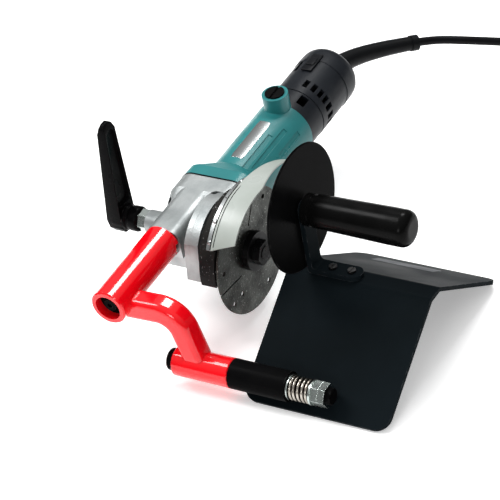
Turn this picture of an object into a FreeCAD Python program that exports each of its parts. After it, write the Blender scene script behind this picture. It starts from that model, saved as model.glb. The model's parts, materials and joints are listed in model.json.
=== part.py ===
import FreeCAD, Part
import math
import os

# Pipe cutting machine: an angle grinder on a swing arm over a saddle that sits on the pipe.
# Millimetres and degrees. X runs along the pipe, Y to the rear, Z up.
# The origin is where the two inner planes of the saddle's flaps would meet, in the plane of the cut.
# Pieces of the arm and the grinder are drawn with the blade's centre at zero and the motor's axis
# along Y, then hung() turns them about X by cut_tilt and moves them to the blade's place.

V = FreeCAD.Vector
X = V(1, 0, 0)
Y = V(0, 1, 0)
Z = V(0, 0, 1)

# Fits and limits
running_fit = 0.05
air = 0.3
tool_overrun = 2
parallel_within = 1
straight_share = 0.00001
nudge_share = 0.125
fastener_chamfer = 0.6

# Where the blade hangs in the pose shown
cut_tilt = 3.2
blade_behind_bisector = 7.5
blade_centre_drop = 2.2

# Saddle plate
plate = 4
flap_slope = 33
crown_half_width = 8
flap_length = 131
saddle_left = 49
saddle_right = 200
bend_radius = 3
plan_corner = 15

# Shaft sleeve on the front flap
sleeve_down_flap = 113
sleeve_radius = 14.5
sleeve_left = 41
sleeve_right = 101
weld_offset = 8
weld_radius = 2.6
weld_height = 1.2

# Hinge shaft, a bolt through the arm's lower tube and the sleeve
shaft_radius = 8
shaft_right = 145.5
shaft_head_radius = 10.8
shaft_head_height = 7.5
shaft_head_edge = 2
socket_flats = 10
socket_depth = 4
bush_radius = 10
bush_length = 15
shaft_washer_radius = 12.2
shaft_washer = 2
lock_nut_flats = 21
lock_nut_height = 7
lock_nut_right = 141

# Friction spring on the hinge shaft
spring_outer_radius = 11.8
spring_wire = 2.7
spring_turns = 5
spring_pitch = 4.4
spring_spans = 3
spring_ground_share = 0.3

# Handle bracket, a flat bar bent to an L
bar = 5
bar_width = 18
bracket_left = 71.5
bracket_right = 125
handle_height = 67
bracket_bend = 4
bracket_screw_radius = 4
bracket_screw_height = 2.4
bracket_screw_shank = 2.5
bracket_screw_slot = 0.9
bracket_screw_first = 94
bracket_screw_second = 114

# Hand guard and side grip
hand_guard_radius = 62
hand_guard = 2.5
hand_guard_edge = 1
handle_bolt_radius = 5
handle_bolt_flats = 17
handle_bolt_head = 6.5
handle_bolt_reach = 34
grip_root_radius = 15.5
grip_root_length = 7
grip_neck_radius = 14.5
grip_neck_length = 4
grip_start_radius = 16
grip_radius = 17.6
grip_length = 109.5
grip_taper_share = 0.8
grip_end_radius = 9

# Swing arm
lower_tube_radius = 14.5
lower_tube_left = -20.5
upper_tube_x = -70
upper_tube_z = 26
upper_tube_front = -141.5
upper_tube_rear = -39
upper_tube_radius = 18
link_plane = -120
link_in_plane = 23
link_across = 22
link_corner = 6
link_start_x = -60
link_start_z = 17.5
link_bend_x = -8.5
link_bend_z = 19.5
link_bend_radius = 24
link_foot_x = 4
tube_edge = 1.2
notch_depth = 6
notch_low = -38
notch_high = 8

# Swivel pin in the upper tube
pin_radius = 13
pin_front = -129.5
pin_journal_radius = 11
pin_rear = 6
pin_washer = 3
pin_screw_radius = 4
pin_screw_head_radius = 6.2
pin_screw_head = 5
pin_screw_reach = 24
pin_screw_flats = 5
stop_screw_angle = -30
stop_screw_radius = 2
stop_screw_reach = 5
stop_screw_root = 8
stop_screw_circle = 14.9

# Gear housing, cast, and the sleeve bar that turns on the swivel pin
motor_x = -62
nose_radius = 30
nose_left = -86
box_face = -39
bar_top = 39
bar_bottom = 8
bar_corner = 9
bell_front = 2
bell_half = 32
bell_corner = 14
bell_rear = 26
collar_front = 41
collar_rear = 47
collar_half = 39
collar_corner = 17
gear_room_left = -58.7
pinion_room_radius = 9.6
pinion_room_front = 12
corner_screw_circle = 40.5
corner_boss_radius = 6.5
corner_boss_front = 22
corner_screw_seat = 30
corner_screw_head_radius = 3.6
corner_screw_head = 3
corner_screw_radius = 2
corner_screw_rear = 58
corner_screw_flats = 3
lever_boss_radius = 11.5
lever_boss_left = -98
lever_boss_root = -80
lever_y = -16.5

# Bearing box, bolted to the housing's right face
box_right = -30
box_front_low_y = -49
box_front_low_z = -8
box_front_high_y = -41
box_front_high_z = 29
box_top_y = -6
box_top_z = 49.5
box_rear_high_y = 27
box_rear_high_z = 41
box_rear_y = 34
box_bottom_y = 12
box_bottom_z = -32
box_low_y = -30
box_low_z = -24
box_collar_radius = 21
box_collar_right = -18
seal_bore_radius = 9
box_screw_radius = 2.5
box_screw_head_radius = 4.5
box_screw_head = 3.5
box_flange = 6
box_screw_flats = 4
box_screw_circle = 33
box_screw_angles = (62, 105, 155, 215)

# Spindle, its bearing and bush
spindle_radius = 7.5
spindle_tail_radius = 5
spindle_left = -84
spindle_tail_right = -56.5
spindle_right = 16
spindle_thread_radius = 7
spindle_thread_left = -17
spindle_bearing_radius = 17.5
spindle_bearing = 11
bush_left = -84
bush_right = -74
spindle_bush_radius = 8

# Bevel gears, both cones with their tip on the crossing of motor axis and spindle axis
gear_teeth = 37
pinion_teeth = 10
gear_pitch_radius = 24
gear_room_gap = 3
gear_room_radius = gear_pitch_radius + gear_room_gap
tooth_length = 7
tooth_addendum = 0.95
tooth_dedendum = 1.35
tooth_share = 0.4
tooth_flank = 22
tooth_sink = 0.4
gear_back = -50
gear_hub_radius = 12
gear_hub_right = -44
pinion_hub_radius = 7.5
pinion_hub_rear = 30

# Armature and what turns with it
motor_shaft_radius = 5
motor_shaft_rear = 226
pinion_seat_radius = 3
pinion_seat_front = 15.5
pinion_seat_rear = 25
fan_gap = 2
fan_front = 55
fan_rear = 68
fan_plate = 2
fan_hub_radius = 9
fan_blades = 9
fan_blade = 1.6
fan_blade_root = 7.5
rotor_gap = 1
core_front = 85
core_rear = 135
winding_step = 4
winding_length = 12
core_slots = 12
core_slot_width = 2
core_slot_depth = 5
commutator_radius = 13
commutator_front = 165
commutator_rear = 189
commutator_bars = 24
commutator_gap = 0.5
commutator_gap_depth = 1
stator_thickness = 6
stator_front = 82
stator_rear = 138
front_bearing_radius = 13
front_bearing_front = 38
front_bearing_rear = 46
rear_bearing_radius = 11
rear_bearing_front = 214
rear_bearing_rear = 223
ball_race = 2.6
race_recess_share = 0.1

# Motor housing
barrel_radius = 31.7
barrel_wall = 2.7
barrel_corner_share = 0.9
barrel_rear = 181
housing_collar_rear = 62
housing_taper_rear = 80
brush_y = 177
brush_boss_radius = 13.5
brush_boss_rise = 15.3
brush_cap_radius = 10
brush_cap_depth = 4
brush_cap_rise = 1.5
brush_cap_slot = 2.4
brush_cap_slot_depth = 1.6
brush_holder_radius = 7.5
brush_holder_foot = 15.5
brush_length = 16
brush_across = 6
brush_along = 9
groove_depth = 0.8
groove_width = 5
groove_angles = (62, 48, 25)
groove_fronts = (75, 86, 124)
groove_rears = (135, 152, 163)

# Rear cover
cover_step = 0.7
cover_ring_rear = 206
cover_seam = 0.7
cover_swell = 0.4
cover_straight_rear = 266
cover_end = 280
cover_end_round = 9.4
cover_wall = 3
cover_bore_rear = 262
cable_bore_radius = 5
wall_front = 210
wall_rear = 214
wall_hole_radius = 7
wall_hole_circle = 20
wall_holes = 3
bearing_ring_radius = 14
bearing_ring_rear = 224
vent_front = 215
vent_rear = 226
vent_width = 5
vent_angles = (72, 55, 39, 25, 10, -8)
window_front = 191
window_rear = 204
window_width = 9
window_angle = 57
cover_screw_circle = 17
cover_screw_radius = 1.8
cover_screw_head_radius = 3.4
cover_screw_head = 2.2
cover_screw_slot = 0.8
switch_angle = 118
switch_front = 236
switch_rear = 268
switch_width = 11
switch_travel = 8
switch_height = 3.2
switch_ribs = 5
switch_rib = 1.2
switch_stem_width = 5
switch_stem_front = 248
switch_stem_rear = 256
switch_stem_foot = 22
switch_block_front = 230
switch_block_width = 18
switch_block_foot = 6
switch_block_top = 21.5

# Blade, flanges and nut on the spindle
blade_radius = 62.5
blade = 1.8
blade_slots = 3
blade_slot_width = 1.6
blade_slot_rim_angle = -174
blade_slot_foot_angle = -156
blade_slot_foot_radius = 28
keyhole_radius = 2.6
keyhole_circles = (52, 42.3, 54.6)
keyhole_angles = (167.4, -134.5, -145.9)
inner_flange_radius = 20
inner_flange_left = -9
flange_hub_radius = 11
outer_flange_radius = 19.5
outer_flange = 6.5
flange_dish_radius = 14
flange_dish_depth = 2
disc_nut_flats = 22
disc_nut = 8

# Guard
guard_plate_radius = 58
guard_plate_left = -22.5
guard_plate_right = -13
guard_plate_bore = 21
guard_plate_low = -2
guard_clamp_radius = 30
guard_rim = 4
guard_rim_right = -6
guard_lip_radius = 67.5
guard_lip_left = -9
skirt_left = -4
skirt_right = 21
skirt_outer = 71.5
skirt = 1.5
skirt_step = 1.5
band_outer = 70.4
band_inner = 69
skirt_start_left = 143
skirt_start_right = 135
tail_arc_radius = 148
tail_turn = 43
tail_end_y = 96
tail_taper_start = 10
tail_tip_x = -1
band_end_turn = 52
rivet_radius = 2.4
rivet_height = 1.2
rivet_angles = (137, 120, 97, 74)
band_x = -6.5

# Lever that locks the mitre angle
stud_radius = 6
stud_tip = -82.4
stud_left = -137
lever_nut_flats = 19
lever_nut_left = -107
hub_radius = 13
hub_left = -141
lever_half = 6
lever_outline_x = (-140, -145, -125.5, -122, -116, -118.5, -114, -118)
lever_outline_z = (13, 24, 134, 139.5, 135, 46, 30, 15)

# Cord, its boot and plug
cord_radius = 4.5
boot_x = (-62, -59, -51, -38, -20)
boot_y = (278, 302, 327, 351, 376)
boot_z = (0, -2, -7, -14, -22)
boot_radius = (10.5, 9.8, 9.1, 8.3, 7.5)
boot_collar_radius = 8.5
boot_collar = 8
floor = -75.9
cord_lift = 0.4
cord_lead = 20
cord_landing = 18
cord_bend_share = 0.45
cord_x = (25, 72, 108, 137, 162)
cord_y = (425.9, 460.6, 486, 502, 510)
cord_z = (-17, -33, -51, -65, -71)
coil_x = 215
coil_y = 441
coil_outer = 70
coil_inner = 36
coil_last = 84
coil_turns_in = 3
coil_climb_turns = 0.5
coil_turns_out = 1.75
coil_layer = 10.2
coil_spans = 8
coil_check_spots = 400
plug_half_height = 14
plug_length = 34
plug_corner = 6
plug_neck_radius = 7
plug_neck_taper = 0.8
plug_neck_length = 16
plug_pin_radius = 2.4
plug_pin_length = 19
plug_pin_spacing = 9.5

# Main sizes that follow from the ones above
slope = math.radians(flap_slope)
crown_inner_z = -crown_half_width * math.tan(slope)
crown_z = crown_inner_z + plate
fold_y = crown_half_width + plate * math.tan(slope / 2)
flap_along = V(0, -math.cos(slope), -math.sin(slope))
flap_out = V(0, -math.sin(slope), math.cos(slope))
front_fold = V(0, -fold_y, crown_z)
hinge = front_fold + flap_along * sleeve_down_flap + flap_out * sleeve_radius
blade_centre = V(0, blade_behind_bisector, -blade_centre_drop)
stator_radius = barrel_radius - barrel_wall
stator_bore_radius = stator_radius - stator_thickness
core_radius = stator_bore_radius - rotor_gap
winding_radius = core_radius - winding_step
fan_radius = stator_radius - fan_gap
brush_boss_top = barrel_radius + brush_boss_rise
brush_cap_seat = brush_boss_top - brush_cap_depth
brush_cap_top = brush_boss_top + brush_cap_rise
cover_radius = barrel_radius - cover_step
cover_body_radius = cover_radius + cover_swell
cover_bore_radius = cover_radius - cover_wall
cover_end_radius = cover_body_radius - cover_end_round
shown = {}


def at_x(point, x):
    return V(x, point.y, point.z)


def rod(start, end, radius):
    return Part.makeCylinder(radius, (end - start).Length, start, end - start)


def tube(start, end, outer, inner):
    return rod(start, end, outer).cut(rod(start, end, inner))


def taper(start, end, first, last):
    return Part.makeCone(first, last, (end - start).Length, start, end - start)


def block(low, high):
    size = high - low
    return Part.makeBox(size.x, size.y, size.z, low)


def slab(points, along):
    return Part.Face(Part.makePolygon(points + points[:1])).extrude(along)


def hexagon(start, end, flats):
    """A hexagonal bar between two points, measured across its flats."""
    along = (end - start).normalize()
    side = along.cross(Z)
    if side.Length < math.sin(math.radians(parallel_within)):
        side = X
    side.normalize()
    up = along.cross(side)
    reach = flats / 2 / math.cos(math.pi / 6)
    turns = [math.pi / 3 * step for step in range(6)]
    points = [start + side * (reach * math.cos(a)) + up * (reach * math.sin(a)) for a in turns]
    return slab(points, end - start)


def lathe(points, start, along, out):
    """Turn an outline of (distance along, radius) pairs about the line from start."""
    outline = [start + along * s + out * r for s, r in points]
    return Part.Face(Part.makePolygon(outline + outline[:1])).revolve(start, along, 360)


def soft_square(centre, half, corner, side, up):
    """A closed wire: a square with rounded corners about a centre."""
    flat = half - corner
    nook = corner * math.sqrt(0.5)
    edges = []
    for turn in range(4):
        a = math.pi / 2 * turn
        s = side * math.cos(a) + up * math.sin(a)
        u = up * math.cos(a) - side * math.sin(a)
        begin = centre + s * half - u * flat
        end = centre + s * half + u * flat
        after = centre + u * half + s * flat
        middle = centre + s * (flat + nook) + u * (flat + nook)
        if flat > 0:
            edges.append(Part.LineSegment(begin, end).toShape())
        edges.append(Part.Arc(end, middle, after).toShape())
    return Part.Wire(edges)


def round_edges(shape, radius, wanted):
    edges = [edge for edge in shape.Edges if wanted(edge)]
    return shape.makeFillet(radius, edges)


def chamfer_ends(shape, size, start, end):
    """Break the round edges of a shape at both ends of a line."""
    along = (end - start).normalize()
    places = (0, (end - start).Length)

    def at_end(edge):
        reach = [(vertex.Point - start).dot(along) for vertex in edge.Vertexes]
        return all(min(abs(r - place) for place in places) < running_fit for r in reach)

    edges = [edge for edge in shape.Edges if at_end(edge)]
    return shape.makeChamfer(size, edges)


def is_along(edge, direction):
    if not isinstance(edge.Curve, (Part.Line, Part.LineSegment)):
        return False
    run = edge.Vertexes[-1].Point - edge.Vertexes[0].Point
    return run.normalize().cross(direction).Length < math.sin(math.radians(parallel_within))


def hung(shape):
    """Move a shape from the blade's own place to where the arm holds it."""
    placed = shape.copy()
    placed.rotate(V(0, 0, 0), X, cut_tilt)
    placed.translate(blade_centre)
    return placed


def unhung(point):
    turn = FreeCAD.Rotation(X, -cut_tilt)
    return turn.multVec(point - blade_centre)


def hung_point(point):
    turn = FreeCAD.Rotation(X, cut_tilt)
    return turn.multVec(point) + blade_centre


def about_motor(shape, degrees):
    turned = shape.copy()
    turned.rotate(V(motor_x, 0, 0), Y, -degrees)
    return turned


def group(shapes):
    return Part.makeCompound(shapes)


def show(name, shape, held_by_arm=False):
    shown[name] = hung(shape) if held_by_arm else shape


# Saddle plate
def saddle_section(x):
    low_front = front_fold + flap_along * flap_length
    low_inner = low_front - flap_out * plate
    inner_fold = V(0, -crown_half_width, crown_inner_z)
    front = [low_front, low_inner, inner_fold]
    rear = [V(0, -p.y, p.z) for p in reversed(front)]
    ring = front + rear + [V(0, fold_y, crown_z), V(0, -fold_y, crown_z)]
    return [at_x(p, x) for p in ring]


saddle_run = X * (saddle_right - saddle_left)
saddle = slab(saddle_section(saddle_left), saddle_run)
for out in (flap_out, V(0, -flap_out.y, flap_out.z)):
    saddle = round_edges(saddle, plan_corner, lambda e: is_along(e, out) and e.Length < plate + running_fit)


def is_bend(edge):
    y = abs(edge.CenterOfMass.y)
    return is_along(edge, X) and y < fold_y + running_fit


inner_bends = [edge for edge in saddle.Edges if is_bend(edge) and edge.CenterOfMass.z < crown_z - plate / 2]
saddle = saddle.makeFillet(bend_radius, inner_bends)
outer_bends = [edge for edge in saddle.Edges if is_bend(edge) and edge.CenterOfMass.z > crown_z - plate / 2]
saddle = saddle.makeFillet(bend_radius + plate, outer_bends)

# Shaft sleeve, its welds and bushes
sleeve_start = at_x(hinge, sleeve_left)
sleeve_end = at_x(hinge, sleeve_right)
sleeve = tube(sleeve_start, sleeve_end, sleeve_radius, bush_radius)
sleeve_foot = hinge - flap_out * (sleeve_radius - weld_height)
for side in (-1, 1):
    bead = sleeve_foot + flap_along * (side * weld_offset)
    sleeve = sleeve.fuse(rod(at_x(bead, saddle_left), at_x(bead, sleeve_right), weld_radius))
sleeve = sleeve.cut(rod(sleeve_start, sleeve_end, bush_radius)).cut(saddle)
show("shaft_sleeve", sleeve)
bush_bore = shaft_radius + running_fit
bush_ends = ((sleeve_left, sleeve_left + bush_length), (sleeve_right - bush_length, sleeve_right))
bushes = [tube(at_x(hinge, a), at_x(hinge, b), bush_radius, bush_bore) for a, b in bush_ends]
show("sleeve_bushes", group(bushes))

# Handle bracket on the crown, with the hand guard and the side grip on its bolt
bracket_front = bracket_left + bar
half_bar = bar_width / 2
foot_low = V(bracket_left, -half_bar, crown_z)
foot = block(foot_low, V(bracket_right - half_bar, half_bar, crown_z + bar))
foot_end = V(bracket_right - half_bar, 0, crown_z)
foot = foot.fuse(rod(foot_end, foot_end + Z * bar, half_bar))
upright = block(foot_low, V(bracket_front, half_bar, handle_height))
handle_left = V(bracket_left, 0, handle_height)
handle_front = at_x(handle_left, bracket_front)
bracket = foot.fuse(upright).fuse(rod(handle_left, handle_front, half_bar)).removeSplitter()
for bend in (V(bracket_front, 0, crown_z + bar), V(bracket_left, 0, crown_z)):
    bracket = round_edges(
        bracket, bracket_bend, lambda e: is_along(e, Y) and (e.CenterOfMass - bend).Length < running_fit
    )
bracket = bracket.cut(rod(handle_left, handle_front, handle_bolt_radius))
screws = []
for x in (bracket_screw_first, bracket_screw_second):
    seat = V(x, 0, crown_z + bar)
    screw = rod(seat, seat + Z * bracket_screw_height, bracket_screw_radius)
    slot_low = seat + V(-bracket_screw_slot / 2, -bracket_screw_radius, bracket_screw_height / 2)
    slot_high = seat + V(bracket_screw_slot / 2, bracket_screw_radius, bracket_screw_height)
    shank = rod(V(x, 0, crown_inner_z), seat, bracket_screw_shank)
    screws.append(screw.cut(block(slot_low, slot_high)).fuse(shank))
    bracket = bracket.cut(shank)
    saddle = saddle.cut(shank)
show("saddle_plate", saddle)
show("handle_bracket", bracket)
show("bracket_screws", group(screws))
shield_start = at_x(handle_left, bracket_left - hand_guard)
shield = rod(shield_start, handle_left, hand_guard_radius)
shield = chamfer_ends(shield, hand_guard_edge, shield_start, handle_left)
show("hand_guard", shield.cut(rod(shield_start, handle_left, handle_bolt_radius)))
bolt_top = shield_start - X * handle_bolt_head
bolt_end = shield_start + X * handle_bolt_reach
bolt = hexagon(bolt_top, shield_start, handle_bolt_flats)
bolt = bolt.fuse(rod(shield_start, bolt_end, handle_bolt_radius))
show("handle_bolt", bolt)
neck = grip_root_length + grip_neck_length
grip_outline = [
    (0, 0),
    (0, grip_root_radius),
    (grip_root_length, grip_root_radius),
    (grip_root_length, grip_neck_radius),
    (neck, grip_neck_radius),
    (neck, grip_start_radius),
    (grip_length * grip_taper_share, grip_radius),
    (grip_length, grip_radius),
    (grip_length, 0),
]
grip = lathe(grip_outline, handle_front, X, Z)
grip_end = bracket_front + grip_length


def at_grip_end(edge):
    return edge.Closed and abs(edge.CenterOfMass.x - grip_end) < running_fit


grip = round_edges(grip, grip_end_radius, at_grip_end)
grip = grip.cut(rod(handle_front, bolt_end, handle_bolt_radius))
show("side_grip", grip)

# Hinge shaft with its washers, spring and lock nuts
tube_left = V(lower_tube_left, hinge.y, hinge.z)
head_start = tube_left - X * shaft_head_height
shaft_end = at_x(hinge, shaft_right)
shaft = rod(head_start, tube_left, shaft_head_radius)
head_rim = [e for e in shaft.Edges if e.Closed and abs(e.CenterOfMass.x - head_start.x) < running_fit]
shaft = shaft.makeFillet(shaft_head_edge, head_rim)
shaft = shaft.cut(hexagon(head_start, head_start + X * socket_depth, socket_flats))
shank = chamfer_ends(rod(tube_left, shaft_end, shaft_radius), fastener_chamfer, tube_left, shaft_end)
show("shaft_bolt", shaft.fuse(shank))
nut_middle = lock_nut_right - lock_nut_height
nut_left = nut_middle - lock_nut_height
washer_places = (sleeve_right + air, nut_left - shaft_washer)
washers = []
for x in washer_places:
    washers.append(tube(at_x(hinge, x), at_x(hinge, x + shaft_washer), shaft_washer_radius, shaft_radius))
show("spring_washers", group(washers))
nuts = []
for x in (nut_left, nut_middle):
    nut = hexagon(at_x(hinge, x), at_x(hinge, x + lock_nut_height), lock_nut_flats)
    nuts.append(nut.cut(rod(at_x(hinge, x), at_x(hinge, x + lock_nut_height), shaft_radius)))
show("lock_nuts", group(nuts))


def arc_between(start, knee, end):
    """The arc that leaves start towards knee and arrives at end from knee."""
    middle = (start + end) * 0.5
    half = (end - start).Length / 2
    rise = (knee - middle).Length
    if rise < half * straight_share:
        return Part.LineSegment(start, end).toShape()
    lift = half * math.tan(math.atan2(rise, half) / 2)
    return Part.Arc(start, middle + (knee - middle) * (lift / rise), end).toShape()


def smooth_wire(place, first, last, steps):
    """A wire of pairs of arcs through place(turns), which gives a point for a number of turns."""
    edges = []
    spots = []
    for step in range(steps + 1):
        t = first + (last - first) * step / steps
        nudge = (last - first) / steps * nudge_share
        spots.append((place(t), (place(t + nudge) - place(t - nudge)).normalize()))
    for (p, a), (q, b) in zip(spots, spots[1:]):
        chord = q - p
        both = a + b
        spread = 2 * (1 - a.dot(b))
        pull = chord.dot(both)
        reach = (math.sqrt(pull * pull + spread * chord.dot(chord)) - pull) / spread
        join = (p + a * reach + q - b * reach) * 0.5
        edges.append(arc_between(p, p + a * reach, join))
        edges.append(arc_between(join, q - b * reach, q))
    return edges


def swept(edges, radius, begin, toward):
    start = Part.Wire(Part.makeCircle(radius, begin, toward))
    return Part.Wire(edges).makePipeShell([start], True, False)


# Friction spring, its end turns closed and ground flat
spring_left = washer_places[0] + shaft_washer
spring_right = washer_places[1]
spring_axis_radius = spring_outer_radius - spring_wire / 2
spring_ground = spring_wire * spring_ground_share
spring_run = spring_right - spring_left - 2 * spring_ground
spring_closed = (spring_run - spring_pitch * (spring_turns - 2)) / 2


def spring_place(t):
    turns = min(max(t, 0), spring_turns)
    early = min(turns, 1)
    late = max(turns - spring_turns + 1, 0)
    along = (early + late) * spring_closed + (turns - early - late) * spring_pitch
    along = along + (t - turns) * spring_closed
    a = 2 * math.pi * t
    x = spring_left + spring_ground + along
    return V(x, hinge.y + spring_axis_radius * math.cos(a), hinge.z + spring_axis_radius * math.sin(a))


spring_edges = smooth_wire(spring_place, 0, spring_turns, int(spring_turns * spring_spans))
spring_begin = spring_place(0)
spring_along = spring_edges[0].tangentAt(spring_edges[0].FirstParameter)
spring = swept(spring_edges, spring_wire / 2, spring_begin, spring_along)
spring_room = tube(at_x(hinge, spring_left), at_x(hinge, spring_right), shaft_washer_radius, shaft_radius)
show("friction_spring", spring.common(spring_room))
gap = spring_wire
checks = 2 * spring_turns * spring_turns
for step in range(checks):
    t = (spring_turns - 1) * step / checks
    for shift in (-1, 0, 1):
        apart = spring_place(t) - spring_place(t + 1 + shift / checks)
        gap = min(gap, apart.Length - spring_wire)
print("spring gap between turns", round(gap, 2))

# Swing arm: lower tube round the hinge shaft, cranked link, upper tube round the swivel pin
arm_hinge = unhung(hinge)
lower_start = at_x(arm_hinge, lower_tube_left)
lower_end = at_x(arm_hinge, sleeve_left - air)
upper_front = V(upper_tube_x, upper_tube_front, upper_tube_z)
upper_rear = V(upper_tube_x, upper_tube_rear, upper_tube_z)
link_start = V(link_start_x, link_plane, link_start_z)
link_bend = V(link_bend_x, link_plane, link_bend_z)
link_foot = V(link_foot_x, link_plane, arm_hinge.z)
link_first = (link_bend - link_start).normalize()
link_second = (link_foot - link_bend).normalize()
link_reach = link_bend_radius * math.tan(link_first.getAngle(link_second) / 2)
bend_start = link_bend - link_first * link_reach
bend_end = link_bend + link_second * link_reach
link_path = [
    Part.LineSegment(link_start, bend_start).toShape(),
    arc_between(bend_start, link_bend, bend_end),
    Part.LineSegment(bend_end, link_foot).toShape(),
]
link_up = link_first.cross(Y)


def link_section(centre):
    wide = link_in_plane / 2 - link_corner
    deep = link_across / 2 - link_corner
    nook = link_corner * math.sqrt(0.5)
    edges = []
    for a, b, swap in ((1, 1, False), (-1, 1, True), (-1, -1, False), (1, -1, True)):
        corner = centre + link_up * (a * wide) + Y * (b * deep)
        on_up = corner + link_up * (a * link_corner)
        on_side = corner + Y * (b * link_corner)
        middle = corner + link_up * (a * nook) + Y * (b * nook)
        ends = (on_side, on_up) if swap else (on_up, on_side)
        if edges:
            edges.append(Part.LineSegment(edges[-1].Vertexes[-1].Point, ends[0]).toShape())
        edges.append(Part.Arc(ends[0], middle, ends[1]).toShape())
    edges.append(Part.LineSegment(edges[-1].Vertexes[-1].Point, edges[0].Vertexes[0].Point).toShape())
    return Part.Wire(edges)


link = Part.Wire(link_path).makePipeShell([link_section(link_start)], True, False)
lower_tube = chamfer_ends(rod(lower_start, lower_end, lower_tube_radius), tube_edge, lower_start, lower_end)
upper_tube = chamfer_ends(rod(upper_front, upper_rear, upper_tube_radius), tube_edge, upper_front, upper_rear)
arm = lower_tube.fuse(link).fuse(upper_tube)
arm = arm.cut(rod(lower_start, lower_end, shaft_radius)).cut(rod(upper_front, upper_rear, pin_radius))


def pie(start, along, radius, first, last):
    """A wedge of a cylinder along Y, between two angles that count from X towards Z."""
    wedge = Part.makeCylinder(radius, along.Length, V(0, 0, 0), Z, last - first)
    wedge.rotate(V(0, 0, 0), X, 90)
    wedge.rotate(V(0, 0, 0), Y, -first)
    wedge.translate(start + along)
    return wedge


notch_front = upper_rear - Y * notch_depth
notch_run = Y * (notch_depth + tool_overrun)
arm = arm.cut(pie(notch_front, notch_run, upper_tube_radius + tool_overrun, notch_low, notch_high))
show("swing_arm", arm, True)

# Swivel pin, held in the upper tube, with the housing's sleeve bar turning on its journal
pin_start = V(upper_tube_x, pin_front, upper_tube_z)
pin_step = upper_rear
pin_end = V(upper_tube_x, pin_rear, upper_tube_z)
pin = rod(pin_start, pin_step, pin_radius).fuse(rod(pin_step, pin_end, pin_journal_radius))
screw_end = pin_start + Y * pin_screw_reach
washer_front = pin_start - Y * pin_washer
head_front = washer_front - Y * pin_screw_head
pin = pin.cut(rod(pin_start, screw_end, pin_screw_radius))
notch_clear = pie(notch_front, notch_run, pin_radius, notch_low, notch_high)
pin = pin.cut(notch_clear.cut(rod(notch_front, notch_front + notch_run, pin_journal_radius)))
show("swivel_pin", pin, True)
show("pin_washer", tube(washer_front, pin_start, pin_radius, pin_screw_radius), True)
screw = rod(head_front, washer_front, pin_screw_head_radius)
screw = screw.fuse(rod(washer_front, screw_end, pin_screw_radius))
screw = screw.cut(hexagon(head_front, head_front + Y * (pin_screw_head / 2), pin_screw_flats))
show("pin_screw", screw, True)
stop_root = V(upper_tube_x + stop_screw_circle, upper_tube_rear + stop_screw_root, upper_tube_z)
stop_tip = V(stop_root.x, upper_tube_rear - stop_screw_reach, upper_tube_z)
stop_screw = rod(stop_tip, stop_root, stop_screw_radius)
stop_screw.rotate(V(upper_tube_x, 0, upper_tube_z), Y, -stop_screw_angle)
show("stop_screw", stop_screw, True)

# Gear housing
apex = V(motor_x, 0, 0)


def on_motor(y):
    return V(motor_x, y, 0)


def on_spindle(x):
    return V(x, 0, 0)


def around(angle, radius):
    """A point beside the spindle's axis, in the blade's plane."""
    a = math.radians(angle)
    return V(0, radius * math.cos(a), radius * math.sin(a))


bar_front = upper_tube_rear + air
bar_half = upper_tube_radius
bar_low = V(upper_tube_x - bar_half, bar_front, bar_bottom)
bar_high = V(upper_tube_x + bar_half, bell_rear, bar_top)
sleeve_bar = block(bar_low, bar_high)
sleeve_bar = round_edges(
    sleeve_bar, bar_corner, lambda e: is_along(e, Y) and e.CenterOfMass.z > bar_top - air
)
nose = rod(on_spindle(nose_left), on_spindle(box_face), nose_radius)
bell_wires = [
    soft_square(on_motor(bell_front), bell_half, bell_corner, X, Z),
    soft_square(on_motor(bell_rear), collar_half, collar_corner, X, Z),
]
bell = Part.makeLoft(bell_wires, True, True)
collar_run = Y * (collar_rear - bell_rear)
collar_wire = soft_square(on_motor(bell_rear), collar_half, collar_corner, X, Z)
collar = Part.Face(collar_wire).extrude(collar_run)
housing = nose.fuse(bell).fuse(collar).fuse(sleeve_bar)
box_points = [
    V(box_face, box_front_low_y, box_front_low_z),
    V(box_face, box_front_high_y, box_front_high_z),
    V(box_face, box_rear_high_y, box_rear_high_z),
    V(box_face, box_rear_y, 0),
    V(box_face, box_low_y, box_low_z),
]
box_crest = V(box_face, box_top_y, box_top_z)
box_foot = V(box_face, box_bottom_y, box_bottom_z)
box_wire = Part.Wire([
    Part.LineSegment(box_points[0], box_points[1]).toShape(),
    Part.Arc(box_points[1], box_crest, box_points[2]).toShape(),
    Part.LineSegment(box_points[2], box_points[3]).toShape(),
    Part.Arc(box_points[3], box_foot, box_points[4]).toShape(),
    Part.LineSegment(box_points[4], box_points[0]).toShape(),
])
box_run = X * (box_right - box_face)
box_room = X * (collar_half + motor_x - box_face + tool_overrun)
housing = housing.cut(Part.Face(box_wire).extrude(box_room))
housing = housing.fuse(Part.Face(box_wire).extrude(X * -box_flange))
boss_tip = V(lever_boss_left, lever_y, upper_tube_z)
boss_root = at_x(boss_tip, lever_boss_root)
housing = housing.fuse(rod(boss_tip, boss_root, lever_boss_radius))
corner_places = []
for turn in (45, 135, 225, 315):
    a = math.radians(turn)
    corner_places.append(V(motor_x + corner_screw_circle * math.cos(a), 0, corner_screw_circle * math.sin(a)))
corner_bosses = []
for place in corner_places:
    boss = rod(place + Y * corner_boss_front, place + Y * collar_rear, corner_boss_radius)
    corner_bosses.append(boss)
housing = housing.fuse(corner_bosses)
room_right = box_face + tool_overrun
housing = housing.cut(rod(on_spindle(gear_room_left), on_spindle(room_right), gear_room_radius))
housing = housing.cut(rod(on_motor(pinion_room_front), on_motor(collar_rear), pinion_room_radius))
housing = housing.cut(rod(on_motor(front_bearing_front), on_motor(collar_rear), front_bearing_radius))
housing = housing.cut(rod(on_spindle(bush_left), on_spindle(gear_room_left), spindle_bush_radius))
journal_bore = pin_journal_radius + running_fit
bore_rear = pin_end + Y * air
housing = housing.cut(rod(pin_step, bore_rear, journal_bore))
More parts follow.
